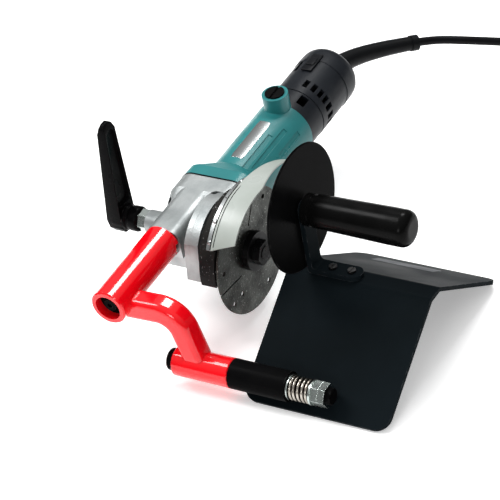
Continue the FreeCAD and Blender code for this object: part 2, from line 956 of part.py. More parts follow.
housing = housing.cut(rod(boss_tip, at_x(boss_tip, upper_tube_x), stud_radius + running_fit))
housing = housing.cut(stop_screw)
screws = []
head_clear = corner_screw_head_radius + air
for place in corner_places:
    seat = place + Y * corner_screw_seat
    head = seat - Y * corner_screw_head
    rear = place + Y * corner_screw_rear
    screw = rod(head, seat, corner_screw_head_radius)
    screw = screw.cut(hexagon(head, seat - Y * (corner_screw_head / 2), corner_screw_flats))
    screws.append(screw.fuse(rod(seat, rear, corner_screw_radius)))
    housing = housing.cut(rod(place, seat, head_clear)).cut(rod(seat, rear, corner_screw_radius))
show("housing_screws", group(screws), True)

# Bearing box on the right face, with the spindle's main bearing
bearing_box = Part.Face(box_wire).extrude(box_run).cut(corner_bosses)
for place in corner_places:
    bearing_box = bearing_box.cut(rod(place, place + Y * corner_boss_front, head_clear))
bearing_box = bearing_box.fuse(rod(on_spindle(box_right), on_spindle(box_collar_right), box_collar_radius))
bearing_right = box_face + spindle_bearing
bearing_box = bearing_box.cut(rod(on_spindle(box_face), on_spindle(bearing_right), spindle_bearing_radius))
bearing_box = bearing_box.cut(rod(on_spindle(box_face), on_spindle(box_collar_right), seal_bore_radius))
screws = []
for turn in box_screw_angles:
    a = math.radians(turn)
    place = V(0, box_screw_circle * math.cos(a), box_screw_circle * math.sin(a))
    seat = at_x(place, box_right - box_screw_head)
    top = at_x(place, box_right)
    end = at_x(place, box_face - box_flange)
    screw = rod(seat, top, box_screw_head_radius)
    screw = screw.cut(hexagon(at_x(place, box_right - box_screw_head / 2), top, box_screw_flats))
    screws.append(screw.fuse(rod(end, seat, box_screw_radius)))
    bearing_box = bearing_box.cut(rod(seat, top, box_screw_head_radius)).cut(rod(end, seat, box_screw_radius))
    housing = housing.cut(rod(end, seat, box_screw_radius))
show("gear_housing", housing, True)
show("bearing_box", bearing_box, True)
show("box_screws", group(screws), True)


def bearing(start, end, outer, inner):
    """A ball bearing: two races with a closed ring between them."""
    along = (end - start) * race_recess_share
    ring = tube(start, end, outer, outer - ball_race)
    ring = ring.fuse(tube(start + along, end - along, outer - ball_race, inner + ball_race))
    return ring.fuse(tube(start, end, inner + ball_race, inner))


bearing_ends = (on_spindle(box_face), on_spindle(bearing_right))
bearing_bore = spindle_radius + running_fit
show("spindle_bearing", bearing(*bearing_ends, spindle_bearing_radius, bearing_bore), True)
bush_ends = (on_spindle(bush_left), on_spindle(bush_right))
show("spindle_bush", tube(*bush_ends, spindle_bush_radius, spindle_tail_radius + running_fit), True)
motor_bore = motor_shaft_radius + running_fit
front_ends = (on_motor(front_bearing_front), on_motor(front_bearing_rear))
rear_ends = (on_motor(rear_bearing_front), on_motor(rear_bearing_rear))
show("front_bearing", bearing(*front_ends, front_bearing_radius, motor_bore), True)
show("rear_bearing", bearing(*rear_ends, rear_bearing_radius, motor_bore), True)

# Spindle, one turned bar with a thread for the disc nut
spindle_outline = [
    (spindle_left, 0),
    (spindle_left, spindle_tail_radius),
    (spindle_tail_right, spindle_tail_radius),
    (spindle_tail_right, spindle_radius),
    (spindle_thread_left, spindle_radius),
    (spindle_thread_left, spindle_thread_radius),
    (spindle_right, spindle_thread_radius),
    (spindle_right, 0),
]
show("spindle", lathe(spindle_outline, V(0, 0, 0), X, Z), True)

# Bevel gears: straight teeth that narrow towards the crossing of the axes
gear_side = gear_pitch_radius * pinion_teeth / gear_teeth
cone_reach = math.hypot(gear_pitch_radius, gear_side)
tooth_small = 1 - tooth_length / cone_reach
tooth_half = math.pi * gear_pitch_radius / gear_teeth * tooth_share


def bevel_teeth(axis, side, pitch_radius, other_radius, teeth, first):
    """Teeth on a cone with its tip at the apex; axis points from the tip to the gear's wide end."""
    along = (axis * other_radius + side * pitch_radius).normalize()
    out = (side * other_radius - axis * pitch_radius).normalize()
    across = axis.cross(side)
    slant = math.tan(math.radians(tooth_flank))
    made = []
    for tooth in range(teeth):
        corners = []
        for scale in (1, tooth_small):
            for height in (-tooth_dedendum - tooth_sink, tooth_addendum):
                half = tooth_half - height * slant
                for hand in (-1, 1):
                    spot = along * cone_reach + out * height + across * (half * hand)
                    corners.append(apex + spot * scale)
        a, b, c, d, e, f, g, h = corners
        rings = [(a, b, d, c), (e, g, h, f), (a, e, f, b), (c, d, h, g), (a, c, g, e), (b, f, h, d)]
        faces = [Part.Face(Part.makePolygon(list(ring) + [ring[0]])) for ring in rings]
        solid = Part.Solid(Part.Shell(faces))
        solid.rotate(apex, axis, first + 360 / teeth * tooth)
        made.append(solid)
    return made


def root_point(pitch_radius, other_radius, scale):
    """Distance along the axis and radius of the cone between the teeth."""
    along = other_radius / cone_reach
    out = pitch_radius / cone_reach
    return (
        (other_radius + tooth_dedendum * out) * scale,
        (pitch_radius - tooth_dedendum * along) * scale,
    )


wide = root_point(gear_pitch_radius, gear_side, 1)
thin = root_point(gear_pitch_radius, gear_side, tooth_small)
gear_outline = [
    (thin[0], spindle_radius),
    thin,
    wide,
    (gear_back - motor_x, wide[1]),
    (gear_back - motor_x, gear_hub_radius),
    (gear_hub_right - motor_x, gear_hub_radius),
    (gear_hub_right - motor_x, spindle_radius),
]
gear = lathe(gear_outline, apex, X, Z)
gap_first = 180 / gear_teeth
gear = gear.fuse(bevel_teeth(X, Y, gear_pitch_radius, gear_side, gear_teeth, gap_first))
show("bevel_gear", gear, True)
wide = root_point(gear_side, gear_pitch_radius, 1)
thin = root_point(gear_side, gear_pitch_radius, tooth_small)
pinion_outline = [
    (thin[0], pinion_seat_radius),
    thin,
    wide,
    (wide[0], pinion_hub_radius),
    (pinion_hub_rear, pinion_hub_radius),
    (pinion_hub_rear, motor_shaft_radius),
    (pinion_seat_rear, motor_shaft_radius),
    (pinion_seat_rear, pinion_seat_radius),
]
pinion = lathe(pinion_outline, apex, Y, X)
pinion = pinion.fuse(bevel_teeth(Y, X, gear_side, gear_pitch_radius, pinion_teeth, 0))
show("pinion", pinion, True)

# Armature: shaft, laminated core with slots, windings at both ends
shaft = rod(on_motor(pinion_seat_front), on_motor(pinion_seat_rear), pinion_seat_radius)
shaft = shaft.fuse(rod(on_motor(pinion_seat_rear), on_motor(motor_shaft_rear), motor_shaft_radius))
core = rod(on_motor(core_front), on_motor(core_rear), core_radius)
for slot in range(core_slots):
    low = V(motor_x - core_slot_width / 2, core_front, core_radius - core_slot_depth)
    high = V(motor_x + core_slot_width / 2, core_rear, core_radius + tool_overrun)
    core = core.cut(about_motor(block(low, high), 360 / core_slots * slot))
ends = rod(on_motor(core_front - winding_length), on_motor(core_rear + winding_length), winding_radius)
core = core.fuse(ends.cut(rod(on_motor(core_front), on_motor(core_rear), winding_radius)))
show("armature", core.fuse(shaft), True)
drum = tube(on_motor(commutator_front), on_motor(commutator_rear), commutator_radius, motor_shaft_radius)
for bar_index in range(commutator_bars):
    low = V(motor_x - commutator_gap / 2, commutator_front, commutator_radius - commutator_gap_depth)
    high = V(motor_x + commutator_gap / 2, commutator_rear, commutator_radius + tool_overrun)
    turn = 360 / commutator_bars * (bar_index + 0.5)
    drum = drum.cut(about_motor(block(low, high), turn))
show("commutator", drum, True)
fan_back = tube(on_motor(fan_front), on_motor(fan_front + fan_plate), fan_radius, motor_shaft_radius)
fan = fan_back.fuse(tube(on_motor(fan_front), on_motor(fan_rear), fan_hub_radius, motor_shaft_radius))
for vane in range(fan_blades):
    low = V(motor_x - fan_blade / 2, fan_front + fan_plate / 2, fan_blade_root)
    high = V(motor_x + fan_blade / 2, fan_rear, fan_radius - fan_blade)
    fan = fan.fuse(about_motor(block(low, high), 360 / fan_blades * vane))
show("fan", fan, True)
stator_ends = (on_motor(stator_front), on_motor(stator_rear))
show("stator", tube(*stator_ends, stator_radius, stator_bore_radius), True)

# Motor housing: a square collar that runs into a barrel, with two brush bosses
start = on_motor(collar_rear)
collar_run = Y * (housing_collar_rear - collar_rear)
motor_body = Part.Face(soft_square(start, collar_half, collar_corner, X, Z)).extrude(collar_run)
barrel_corner = barrel_radius * barrel_corner_share
taper_wires = [
    soft_square(on_motor(housing_collar_rear), collar_half, collar_corner, X, Z),
    soft_square(on_motor(housing_taper_rear), barrel_radius, barrel_corner, X, Z),
]
motor_body = motor_body.fuse(Part.makeLoft(taper_wires, True, True))
motor_body = motor_body.fuse(rod(start, on_motor(barrel_rear), barrel_radius))
brush_seat = on_motor(brush_y)
bosses = []
for up in (Z, -Z):
    bosses.append(rod(brush_seat, brush_seat + up * brush_boss_top, brush_boss_radius))
motor_body = motor_body.fuse(bosses)
motor_body = motor_body.cut(rod(start, on_motor(barrel_rear + brush_boss_radius), stator_radius))
for angle, front, rear in zip(groove_angles, groove_fronts, groove_rears):
    low = V(motor_x - groove_width / 2, front, barrel_radius - groove_depth)
    high = V(motor_x + groove_width / 2, rear, barrel_radius + tool_overrun)
    motor_body = motor_body.cut(about_motor(block(low, high), angle - 90))
for place in corner_places:
    motor_body = motor_body.cut(rod(place, place + Y * corner_screw_rear, corner_screw_radius))
caps = []
holders = []
brushes = []
for up in (Z, -Z):
    seat = brush_seat + up * brush_cap_seat
    top = brush_seat + up * brush_cap_top
    motor_body = motor_body.cut(rod(seat, top, brush_cap_radius))
    holder_foot = brush_seat + up * brush_holder_foot
    motor_body = motor_body.cut(rod(holder_foot, seat, brush_holder_radius))
    half_slot = V(brush_cap_slot / 2, brush_cap_radius, 0)
    slot = block(V(0, 0, 0) - half_slot, half_slot + Z * tool_overrun)
    slot.translate(top - Z * (tool_overrun if up.z < 0 else 0) - up * brush_cap_slot_depth)
    caps.append(rod(seat, top, brush_cap_radius).cut(slot))
    brush_foot = brush_seat + up * (commutator_radius + air)
    brush_top = brush_foot + up * brush_length
    sides = V(brush_across / 2, brush_along / 2, 0)
    low = V(brush_seat.x, brush_seat.y, min(brush_foot.z, brush_top.z)) - sides
    high = V(brush_seat.x, brush_seat.y, max(brush_foot.z, brush_top.z)) + sides
    brush = block(low, high)
    room_low = V(low.x, low.y, min(brush_foot.z, seat.z))
    spring_room = block(room_low, V(high.x, high.y, max(brush_foot.z, seat.z)))
    brushes.append(brush)
    holders.append(rod(holder_foot, seat, brush_holder_radius).cut(spring_room))
show("motor_housing", motor_body, True)
show("brush_caps", group(caps), True)
show("brush_holders", group(holders), True)
show("brushes", group(brushes), True)

# Rear cover: a ring, a seam, a long cap with vents, and the wall that holds the rear bearing
cover_outline = [
    (barrel_rear, cover_bore_radius),
    (barrel_rear, cover_radius),
    (cover_ring_rear, cover_radius),
    (cover_ring_rear, cover_radius - cover_seam),
    (cover_ring_rear + cover_seam, cover_radius - cover_seam),
    (cover_ring_rear + cover_seam, cover_body_radius),
    (cover_straight_rear, cover_body_radius),
    (cover_end, cover_end_radius),
    (cover_end, cable_bore_radius),
    (cover_bore_rear, cable_bore_radius),
    (cover_bore_rear, cover_bore_radius),
    (wall_rear, cover_bore_radius),
    (wall_rear, bearing_ring_radius),
    (bearing_ring_rear, bearing_ring_radius),
    (bearing_ring_rear, rear_bearing_radius),
    (wall_rear, rear_bearing_radius),
    (wall_rear, wall_hole_radius),
    (wall_front, wall_hole_radius),
    (wall_front, cover_bore_radius),
]
cover = lathe(cover_outline, apex, Y, Z)
cover = cover.cut(bosses)
for index in range(wall_holes):
    low = on_motor(wall_front) + Z * wall_hole_circle
    hole = rod(low, low + Y * (wall_rear - wall_front), wall_hole_radius)
    cover = cover.cut(about_motor(hole, 360 / wall_holes * index + window_angle))
deep = cover_bore_radius - tool_overrun
far = cover_body_radius + tool_overrun
for angle in vent_angles:
    low = V(motor_x - vent_width / 2, vent_front, deep)
    cover = cover.cut(about_motor(block(low, V(motor_x + vent_width / 2, vent_rear, far)), angle - 90))
    cover = cover.cut(about_motor(block(low, V(motor_x + vent_width / 2, vent_rear, far)), 270 - angle))
low = V(motor_x - window_width / 2, window_front, deep)
high = V(motor_x + window_width / 2, window_rear, far)
cover = cover.cut(about_motor(block(low, high), window_angle - 90))
screws = []
for side in (-1, 1):
    seat = V(motor_x + side * cover_screw_circle, cover_end, 0)
    head = seat + Y * cover_screw_head
    screw = rod(seat, head, cover_screw_head_radius)
    slot_low = head - V(cover_screw_head_radius, cover_screw_head / 2, cover_screw_slot / 2)
    slot_high = head + V(cover_screw_head_radius, 0, cover_screw_slot / 2)
    shank = rod(V(seat.x, cover_bore_rear, 0), seat, cover_screw_radius)
    screws.append(screw.cut(block(slot_low, slot_high)).fuse(shank))
    cover = cover.cut(shank)
show("cover_screws", group(screws), True)

# Switch: a ribbed slide in a slot of the cover, and the block that it works
slide_seat = cover_body_radius + air
slide_low = V(motor_x - switch_width / 2, switch_front, slide_seat)
slide_high = V(motor_x + switch_width / 2, switch_rear, slide_seat + switch_height)
slide = block(slide_low, slide_high)
rib_step = (switch_rear - switch_front) / (switch_ribs + 1)
for rib in range(switch_ribs):
    y = switch_front + rib_step * (rib + 1)
    low = V(slide_low.x, y - switch_rib / 2, slide_high.z)
    slide = slide.fuse(block(low, V(slide_high.x, y + switch_rib / 2, slide_high.z + switch_rib)))
stem_low = V(motor_x - switch_stem_width / 2, switch_stem_front, switch_stem_foot)
stem_high = V(motor_x + switch_stem_width / 2, switch_stem_rear, slide_seat)
slide = slide.fuse(block(stem_low, stem_high))
clear = V(air, air, 0)
slot_low = stem_low - clear - Y * switch_travel
slot_high = stem_high + clear + Z * tool_overrun
cover = cover.cut(about_motor(block(slot_low, slot_high), switch_angle - 90))
show("switch_slider", about_motor(slide, switch_angle - 90), True)
show("rear_cover", cover, True)
block_low = V(motor_x - switch_block_width / 2, switch_block_front, switch_block_foot)
block_high = V(motor_x + switch_block_width / 2, cover_bore_rear, switch_block_top)
show("switch_block", about_motor(block(block_low, block_high), switch_angle - 90), True)

# Blade with keyhole slots, clamped between its flanges by the disc nut
half_blade = blade / 2
disc = tube(on_spindle(-half_blade), on_spindle(half_blade), blade_radius, spindle_thread_radius)
slot_rim = at_x(around(blade_slot_rim_angle, blade_radius + tool_overrun), -blade)
slot_foot = at_x(around(blade_slot_foot_angle, blade_slot_foot_radius), -blade)
slot_side = (slot_rim - slot_foot).normalize().cross(X) * (blade_slot_width / 2)
through = X * (2 * blade)
slot_corners = [slot_rim - slot_side, slot_rim + slot_side, slot_foot + slot_side, slot_foot - slot_side]
slot_cutter = slab(slot_corners, through).fuse(rod(slot_foot, slot_foot + through, blade_slot_width / 2))
cutters = [slot_cutter]
for circle, angle in zip(keyhole_circles, keyhole_angles):
    place = at_x(around(angle, circle), -blade)
    cutters.append(rod(place, place + through, keyhole_radius))
for index in range(blade_slots):
    for cutter in cutters:
        turned = cutter.copy()
        turned.rotate(V(0, 0, 0), X, 360 / blade_slots * index)
        disc = disc.cut(turned)
show("blade", disc, True)
flange_left = on_spindle(inner_flange_left)
flange_face = on_spindle(-half_blade)
inner = tube(flange_left, flange_face, inner_flange_radius, spindle_thread_radius)
flange_hub = tube(on_spindle(spindle_thread_left), flange_left, flange_hub_radius, spindle_thread_radius)
inner = inner.fuse(flange_hub)
dish = tube(flange_face - X * flange_dish_depth, flange_face, flange_dish_radius, flange_hub_radius)
show("inner_flange", inner.cut(dish), True)
outer_face = on_spindle(half_blade + outer_flange)
outer = tube(on_spindle(half_blade), outer_face, outer_flange_radius, spindle_thread_radius)
dish_ends = (on_spindle(half_blade), on_spindle(half_blade + flange_dish_depth))
dish = tube(*dish_ends, flange_dish_radius, flange_hub_radius)
show("outer_flange", outer.cut(dish), True)
nut_end = outer_face + X * disc_nut
nut = hexagon(outer_face, nut_end, disc_nut_flats).cut(rod(outer_face, nut_end, spindle_thread_radius))
show("blade_nut", nut, True)

# Guard: plate round the bearing box's collar, skirt over the blade with a long tail, band and rivets
plate_ends = (on_spindle(guard_plate_left), on_spindle(guard_plate_right))
guard_plate = tube(*plate_ends, guard_plate_radius, guard_plate_bore)
rim_end = on_spindle(guard_rim_right)
rim = tube(plate_ends[1], rim_end, guard_plate_radius, guard_plate_radius - guard_rim)
below_low = V(guard_plate_left, -guard_plate_radius, -guard_plate_radius)
below = block(below_low, V(guard_rim_right, guard_plate_radius, guard_plate_low))
clamp_ring = tube(*plate_ends, guard_clamp_radius, guard_plate_bore)
guard_plate = guard_plate.fuse(rim).cut(below).fuse(clamp_ring)


def curved_sheet(outer, thickness, first, last, with_tail):
    """A face in the blade's plane: an arc round the spindle, then a flatter arc that runs rearward."""
    inner = outer - thickness
    rise = tail_arc_radius - skirt_outer
    centre = V(0, 0, -rise)
    lines = []
    for radius in (outer, inner):
        middle = around((first + last) / 2, radius)
        lines.append([Part.Arc(around(first, radius), middle, around(last, radius)).toShape()])
    ends = [around(last, outer), around(last, inner)]
    if with_tail:
        for line, end, radius in zip(lines, (0, 1), (outer, inner)):
            big = radius + rise
            middle = centre + around(90 - tail_turn / 2, big)
            ends[end] = centre + around(90 - tail_turn, big)
            line.append(Part.Arc(around(last, radius), middle, ends[end]).toShape())
    close_far = Part.LineSegment(ends[0], ends[1]).toShape()
    close_near = Part.LineSegment(around(first, outer), around(first, inner)).toShape()
    return Part.Face(Part.Wire(lines[0] + [close_far] + lines[1][::-1] + [close_near]))


def thick_sheet(face, left, right):
    sheet = face.extrude(X * (right - left))
    sheet.translate(X * left)
    return sheet


skirt_face = curved_sheet(skirt_outer, skirt, skirt_start_left, 90, True)
guard_skirt = thick_sheet(skirt_face, skirt_left, skirt_right)
lip_face = curved_sheet(band_inner, band_inner - guard_lip_radius, skirt_start_left, band_end_turn, False)
guard_skirt = guard_skirt.fuse(thick_sheet(lip_face, guard_lip_left, skirt_left + skirt_step))
step_face = curved_sheet(skirt_outer, skirt_outer - guard_lip_radius, skirt_start_left, 90, False)
guard_skirt = guard_skirt.fuse(thick_sheet(step_face, skirt_left, skirt_left + skirt_step))
front_slant = [around(skirt_start_left, skirt_outer), around(skirt_start_right, skirt_outer)]
slant_run = (front_slant[1] - front_slant[0]).normalize()
slant_out = slant_run.cross(X)
front_corner = at_x(front_slant[0], skirt_left)
front_far = at_x(front_slant[1], skirt_right)
beyond = front_far + X * tool_overrun
cut_points = [front_corner, beyond, at_x(front_corner, beyond.x)]
front_cut = slab([p - slant_out * skirt_outer for p in cut_points], slant_out * (2 * skirt_outer))
far_y = tail_end_y + tool_overrun
tail_points = [V(skirt_right, tail_taper_start, 0), V(tail_tip_x, far_y, 0), V(skirt_right, far_y, 0)]
tail_cut = slab(tail_points, Z * tail_arc_radius)
guard_skirt = guard_skirt.cut(front_cut).cut(tail_cut)
web = guard_lip_radius - guard_plate_radius
web_face = curved_sheet(guard_lip_radius, web, skirt_start_left, band_end_turn, False)
guard_plate = guard_plate.fuse(thick_sheet(web_face, guard_lip_left, guard_rim_right))
band_face = curved_sheet(band_outer, band_outer - band_inner, skirt_start_left, band_end_turn, False)
guard_band = thick_sheet(band_face, guard_lip_left, skirt_left)
rivets = []
for angle in rivet_angles:
    root = at_x(around(angle, guard_lip_radius), band_x)
    seat = at_x(around(angle, band_outer), band_x)
    top = at_x(around(angle, band_outer + rivet_height), band_x)
    rivets.append(taper(seat, top, rivet_radius, rivet_radius / 2).fuse(rod(root, seat, rivet_radius / 2)))
    hole = rod(root, seat, rivet_radius / 2)
    guard_band = guard_band.cut(hole)
    guard_skirt = guard_skirt.cut(hole)
show("guard_plate", guard_plate, True)
show("guard_skirt", guard_skirt, True)
show("guard_band", guard_band, True)
show("guard_rivets", group(rivets), True)

# Locking lever on its stud
stud_axis = V(0, lever_y, upper_tube_z)
stud_start = at_x(stud_axis, stud_tip)
nut_right = at_x(stud_axis, lever_boss_left - air)
nut_left = at_x(stud_axis, lever_nut_left)
show("lever_stud", rod(at_x(stud_axis, stud_left), stud_start, stud_radius), True)
nut = hexagon(nut_left, nut_right, lever_nut_flats).cut(rod(nut_left, nut_right, stud_radius))
show("lever_nut", nut, True)
hub_right = at_x(stud_axis, lever_nut_left - air)
hub_end = at_x(stud_axis, hub_left)
outline = [V(x, lever_y - lever_half, z) for x, z in zip(lever_outline_x, lever_outline_z)]
lever_blade = slab(outline, Y * (2 * lever_half))
lever = rod(hub_end, hub_right, hub_radius).fuse(lever_blade).removeSplitter()
stud_room = at_x(stud_axis, stud_left - air)
lever = lever.cut(rod(stud_room, hub_right, stud_radius + running_fit))
show("clamp_lever", lever, True)

# Boot and boot collar, then the cord: a route of straight runs joined by arcs
boot_points = [hung_point(V(x, y, z)) for x, y, z in zip(boot_x, boot_y, boot_z)]
boot = None
for start, end, wide, thin in zip(boot_points, boot_points[1:], boot_radius, boot_radius[1:]):
    piece = taper(start, end, wide, thin)
    if boot is None:
        boot = piece
    else:
        boot = boot.fuse(piece).fuse(Part.makeSphere(wide, start))
reach = cover_bore_rear
cover_back = hung(block(V(-reach, 0, -reach), V(reach, cover_end, reach)))
show("cord_boot", boot.cut(cover_back))
boot_along = (boot_points[-1] - boot_points[-2]).normalize()
cord_exit = boot_points[-1] + boot_along * boot_collar
show("boot_collar", rod(boot_points[-1], cord_exit, boot_collar_radius))
coil_z = floor + cord_radius + cord_lift
layer_turns = coil_turns_in + coil_climb_turns
all_turns = layer_turns + coil_turns_out


def coil_place(t):
    """The coil's line: in towards the middle, up a layer in half a turn, and out again."""
    inward = min(t, layer_turns) / layer_turns
    outward = max(t - layer_turns, 0) / coil_turns_out
    radius = coil_outer + (coil_inner - coil_outer) * inward + (coil_last - coil_inner) * outward
    climb = min(max(t - coil_turns_in, 0) / coil_climb_turns, 1)
    z = coil_z + coil_layer * (1 - math.cos(math.pi * climb)) / 2
    a = math.pi / 2 - 2 * math.pi * t
    return V(coil_x + radius * math.cos(a), coil_y + radius * math.sin(a), z)


coil_edges = smooth_wire(coil_place, 0, all_turns, int(all_turns * coil_spans))
coil_start = coil_edges[0].Vertexes[0].Point
coil_into = coil_edges[0].tangentAt(coil_edges[0].FirstParameter)
coil_stop = coil_edges[-1].Vertexes[-1].Point
coil_out = coil_edges[-1].tangentAt(coil_edges[-1].LastParameter)
cord_width = 2 * cord_radius
coil_begin = coil_start - coil_into * cord_width
coil_close = coil_stop + coil_out * cord_width
lead_in = Part.LineSegment(coil_begin, coil_start).toShape()
lead_out = Part.LineSegment(coil_stop, coil_close).toShape()
show("cord_coil", swept([lead_in] + coil_edges + [lead_out], cord_radius, coil_begin, coil_into))
spots = [coil_place(all_turns * step / coil_check_spots) for step in range(coil_check_spots + 1)]
near = int(coil_check_spots / all_turns / 2)
gap = coil_outer
for first, p in enumerate(spots):
    for q in spots[first + near:]:
        gap = min(gap, (p - q).Length - cord_width)
coil_length = sum((q - p).Length for p, q in zip(spots, spots[1:]))
print("coil gap to itself", round(gap, 2), "length", round(coil_length))

route = [cord_exit, cord_exit + boot_along * cord_lead]
route += [V(x, y, z) for x, y, z in zip(cord_x, cord_y, cord_z)]
route += [coil_begin - coil_into * cord_landing, coil_begin]
edges = []
here = route[0]
for before, knee, after in zip(route, route[1:], route[2:]):
    arriving = (knee - before).normalize()
    leaving = (after - knee).normalize()
    turn = arriving.getAngle(leaving)
    reach = cord_bend_share * min((knee - before).Length, (after - knee).Length)
    print("cord turn", round(math.degrees(turn), 1), "radius", round(reach / math.tan(turn / 2), 1))
    begin = knee - arriving * reach
    edges.append(Part.LineSegment(here, begin).toShape())
    here = knee + leaving * reach
    edges.append(arc_between(begin, knee, here))
edges.append(Part.LineSegment(here, route[-1]).toShape())
cord = swept(edges, cord_radius, route[0], route[1] - route[0])
length = sum(edge.Length for edge in edges)
section = math.pi * cord_radius ** 2
fill = cord.Volume / section / length
print("cord length", round(length), "volume over section times length", round(fill, 4))
print("cord starts at", [round(v, 2) for v in cord_exit])
print("coil starts at", [round(v, 2) for v in coil_begin])
show("cord", cord)

# Plug at the end of the coil
plug_start = coil_close
plug_side = coil_out.cross(Z).normalize()
plug_up = plug_side.cross(coil_out)
neck_end = plug_start + coil_out * plug_neck_length
plug_neck = taper(plug_start, neck_end, cord_radius + plug_neck_taper, plug_neck_radius)
plug_far = neck_end + coil_out * plug_length
ring = soft_square(neck_end, plug_half_height, plug_corner, plug_side, plug_up)
plug_body = Part.Face(ring).extrude(coil_out * plug_length)
pins = []
for hand in (-1, 1):
    root = plug_far + plug_side * (hand * plug_pin_spacing)
    pins.append(rod(root, root + coil_out * plug_pin_length, plug_pin_radius))
show("plug", plug_neck.fuse(plug_body))
show("plug_pins", group(pins))

os.makedirs("parts", exist_ok=True)
for name, shape in shown.items():
    shape.exportStep(f"parts/{name}.step")
    if not shape.isValid():
        print(name, "is not valid")
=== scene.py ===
import bpy
import bmesh
import json
import math
from mathutils import Matrix, Vector


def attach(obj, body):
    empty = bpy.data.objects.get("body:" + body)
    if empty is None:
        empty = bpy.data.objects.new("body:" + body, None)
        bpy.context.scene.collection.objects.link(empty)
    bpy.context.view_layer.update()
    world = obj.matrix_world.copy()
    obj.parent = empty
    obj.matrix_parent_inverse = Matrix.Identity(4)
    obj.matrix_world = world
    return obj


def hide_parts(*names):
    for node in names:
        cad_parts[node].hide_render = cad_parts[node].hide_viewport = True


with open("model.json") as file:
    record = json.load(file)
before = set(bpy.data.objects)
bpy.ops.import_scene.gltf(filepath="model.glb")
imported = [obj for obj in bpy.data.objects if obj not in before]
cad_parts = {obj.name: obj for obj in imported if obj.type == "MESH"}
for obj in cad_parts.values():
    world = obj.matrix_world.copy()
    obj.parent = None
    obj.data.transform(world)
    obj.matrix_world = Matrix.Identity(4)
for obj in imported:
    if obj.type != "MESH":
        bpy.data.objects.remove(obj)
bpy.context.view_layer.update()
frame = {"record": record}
MM = 0.001

# Camera, at the photograph's viewing angle, with its focal length in pixels of the square picture
PHOTO_SIDE = 500
FOCAL_PIXELS = 2549
SENSOR_WIDTH = 36
FAR_CLIP = 30
camera_place = Vector((1.16387, -1.5955, 1.39696))
camera_right = Vector((0.85833, 0.48934, -0.15429))
camera_up = Vector((-0.18036, 0.56927, 0.80212))
camera_back = Vector((0.48035, -0.66066, 0.57688))
camera_data = bpy.data.cameras.new("camera")
camera = bpy.data.objects.new("camera", camera_data)
bpy.context.scene.collection.objects.link(camera)
turn = Matrix((camera_right, camera_up, camera_back)).transposed().to_4x4()
camera.matrix_world = Matrix.Translation(camera_place) @ turn
camera_data.sensor_width = SENSOR_WIDTH
camera_data.lens = FOCAL_PIXELS / PHOTO_SIDE * SENSOR_WIDTH
camera_data.clip_end = FAR_CLIP
bpy.context.scene.camera = camera
bpy.context.scene.view_settings.view_transform = "Standard"

# Places on the grinder are in mm about the blade's centre, with the motor along Y, as in the CAD
TILT = math.radians(3.2)
BLADE = Vector((0, 0.0075, -0.0022))
HUNG = Matrix.Translation(BLADE) @ Matrix.Rotation(TILT, 4, "X")
HUNG_TURN = HUNG.to_3x3()
MOTOR_X = -62


def hung(x, y, z):
    return HUNG @ Vector((x * MM, y * MM, z * MM))


# Finishes: detail of each noise, and the noise values between which one state gives way to the other
PATCH_DETAIL, PATCH_LOW, PATCH_HIGH = 5.0, 0.35, 0.68
CHIP_DETAIL, CHIP_LOW, CHIP_HIGH = 6.0, 0.48, 0.62
SPECK_DETAIL, SPECK_SOFTNESS = 2.0, 0.06
GRAIN_DETAIL = 3.0
WAVE_DETAIL = 2.0
ROUGH_LOW, ROUGH_HIGH = 0.3, 0.7
SMALLEST_ROUGH = 0.03
EDGE_FLAT, EDGE_SHARP = 0.97, 0.86
PATCH_DARKENING = 0.72
ROUND_EDGE = 0.0004
BEVEL_SAMPLES = 6
COAT_ROUGH = 0.06
BLADE_BRUSHING = 0.85


def new_material(name):
    material = bpy.data.materials.new(name)
    material.use_nodes = True
    nodes = material.node_tree.nodes
    nodes.clear()
    output = nodes.new("ShaderNodeOutputMaterial")
    shader = nodes.new("ShaderNodeBsdfPrincipled")
    material.node_tree.links.new(shader.outputs[0], output.inputs[0])
    return material, nodes, material.node_tree.links, shader


def noise(nodes, links, coordinates, scale, detail, stretch=None):
    texture = nodes.new("ShaderNodeTexNoise")
    texture.inputs["Scale"].default_value = scale
    texture.inputs["Detail"].default_value = detail
    source = coordinates
    if stretch:
        mapping = nodes.new("ShaderNodeMapping")
        mapping.inputs["Scale"].default_value = stretch
        links.new(coordinates, mapping.inputs["Vector"])
        source = mapping.outputs["Vector"]
    links.new(source, texture.inputs["Vector"])
    return texture.outputs["Fac"]


def spread(nodes, links, value, low, high, out_low=0, out_high=1):
    ramp = nodes.new("ShaderNodeMapRange")
    ramp.inputs["From Min"].default_value = low
    ramp.inputs["From Max"].default_value = high
    ramp.inputs["To Min"].default_value = out_low
    ramp.inputs["To Max"].default_value = out_high
    links.new(value, ramp.inputs["Value"])
    return ramp.outputs["Result"]


def mixed(nodes, links, factor, first, second):
    mix = nodes.new("ShaderNodeMix")
    mix.data_type = "RGBA"
    links.new(factor, mix.inputs["Factor"])
    for value, socket in ((first, mix.inputs[6]), (second, mix.inputs[7])):
        if isinstance(value, tuple):
            socket.default_value = (*value, 1)
        else:
            links.new(value, socket)
    return mix.outputs[2]


def rounded_normal(nodes, radius):
    bevel = nodes.new("ShaderNodeBevel")
    bevel.samples = BEVEL_SAMPLES
    bevel.inputs["Radius"].default_value = radius
    return bevel.outputs["Normal"]


def bumped(nodes, links, height, depth, normal):
    bump = nodes.new("ShaderNodeBump")
    bump.inputs["Distance"].default_value = depth
    links.new(height, bump.inputs["Height"])
    links.new(normal, bump.inputs["Normal"])
    return bump.outputs["Normal"]


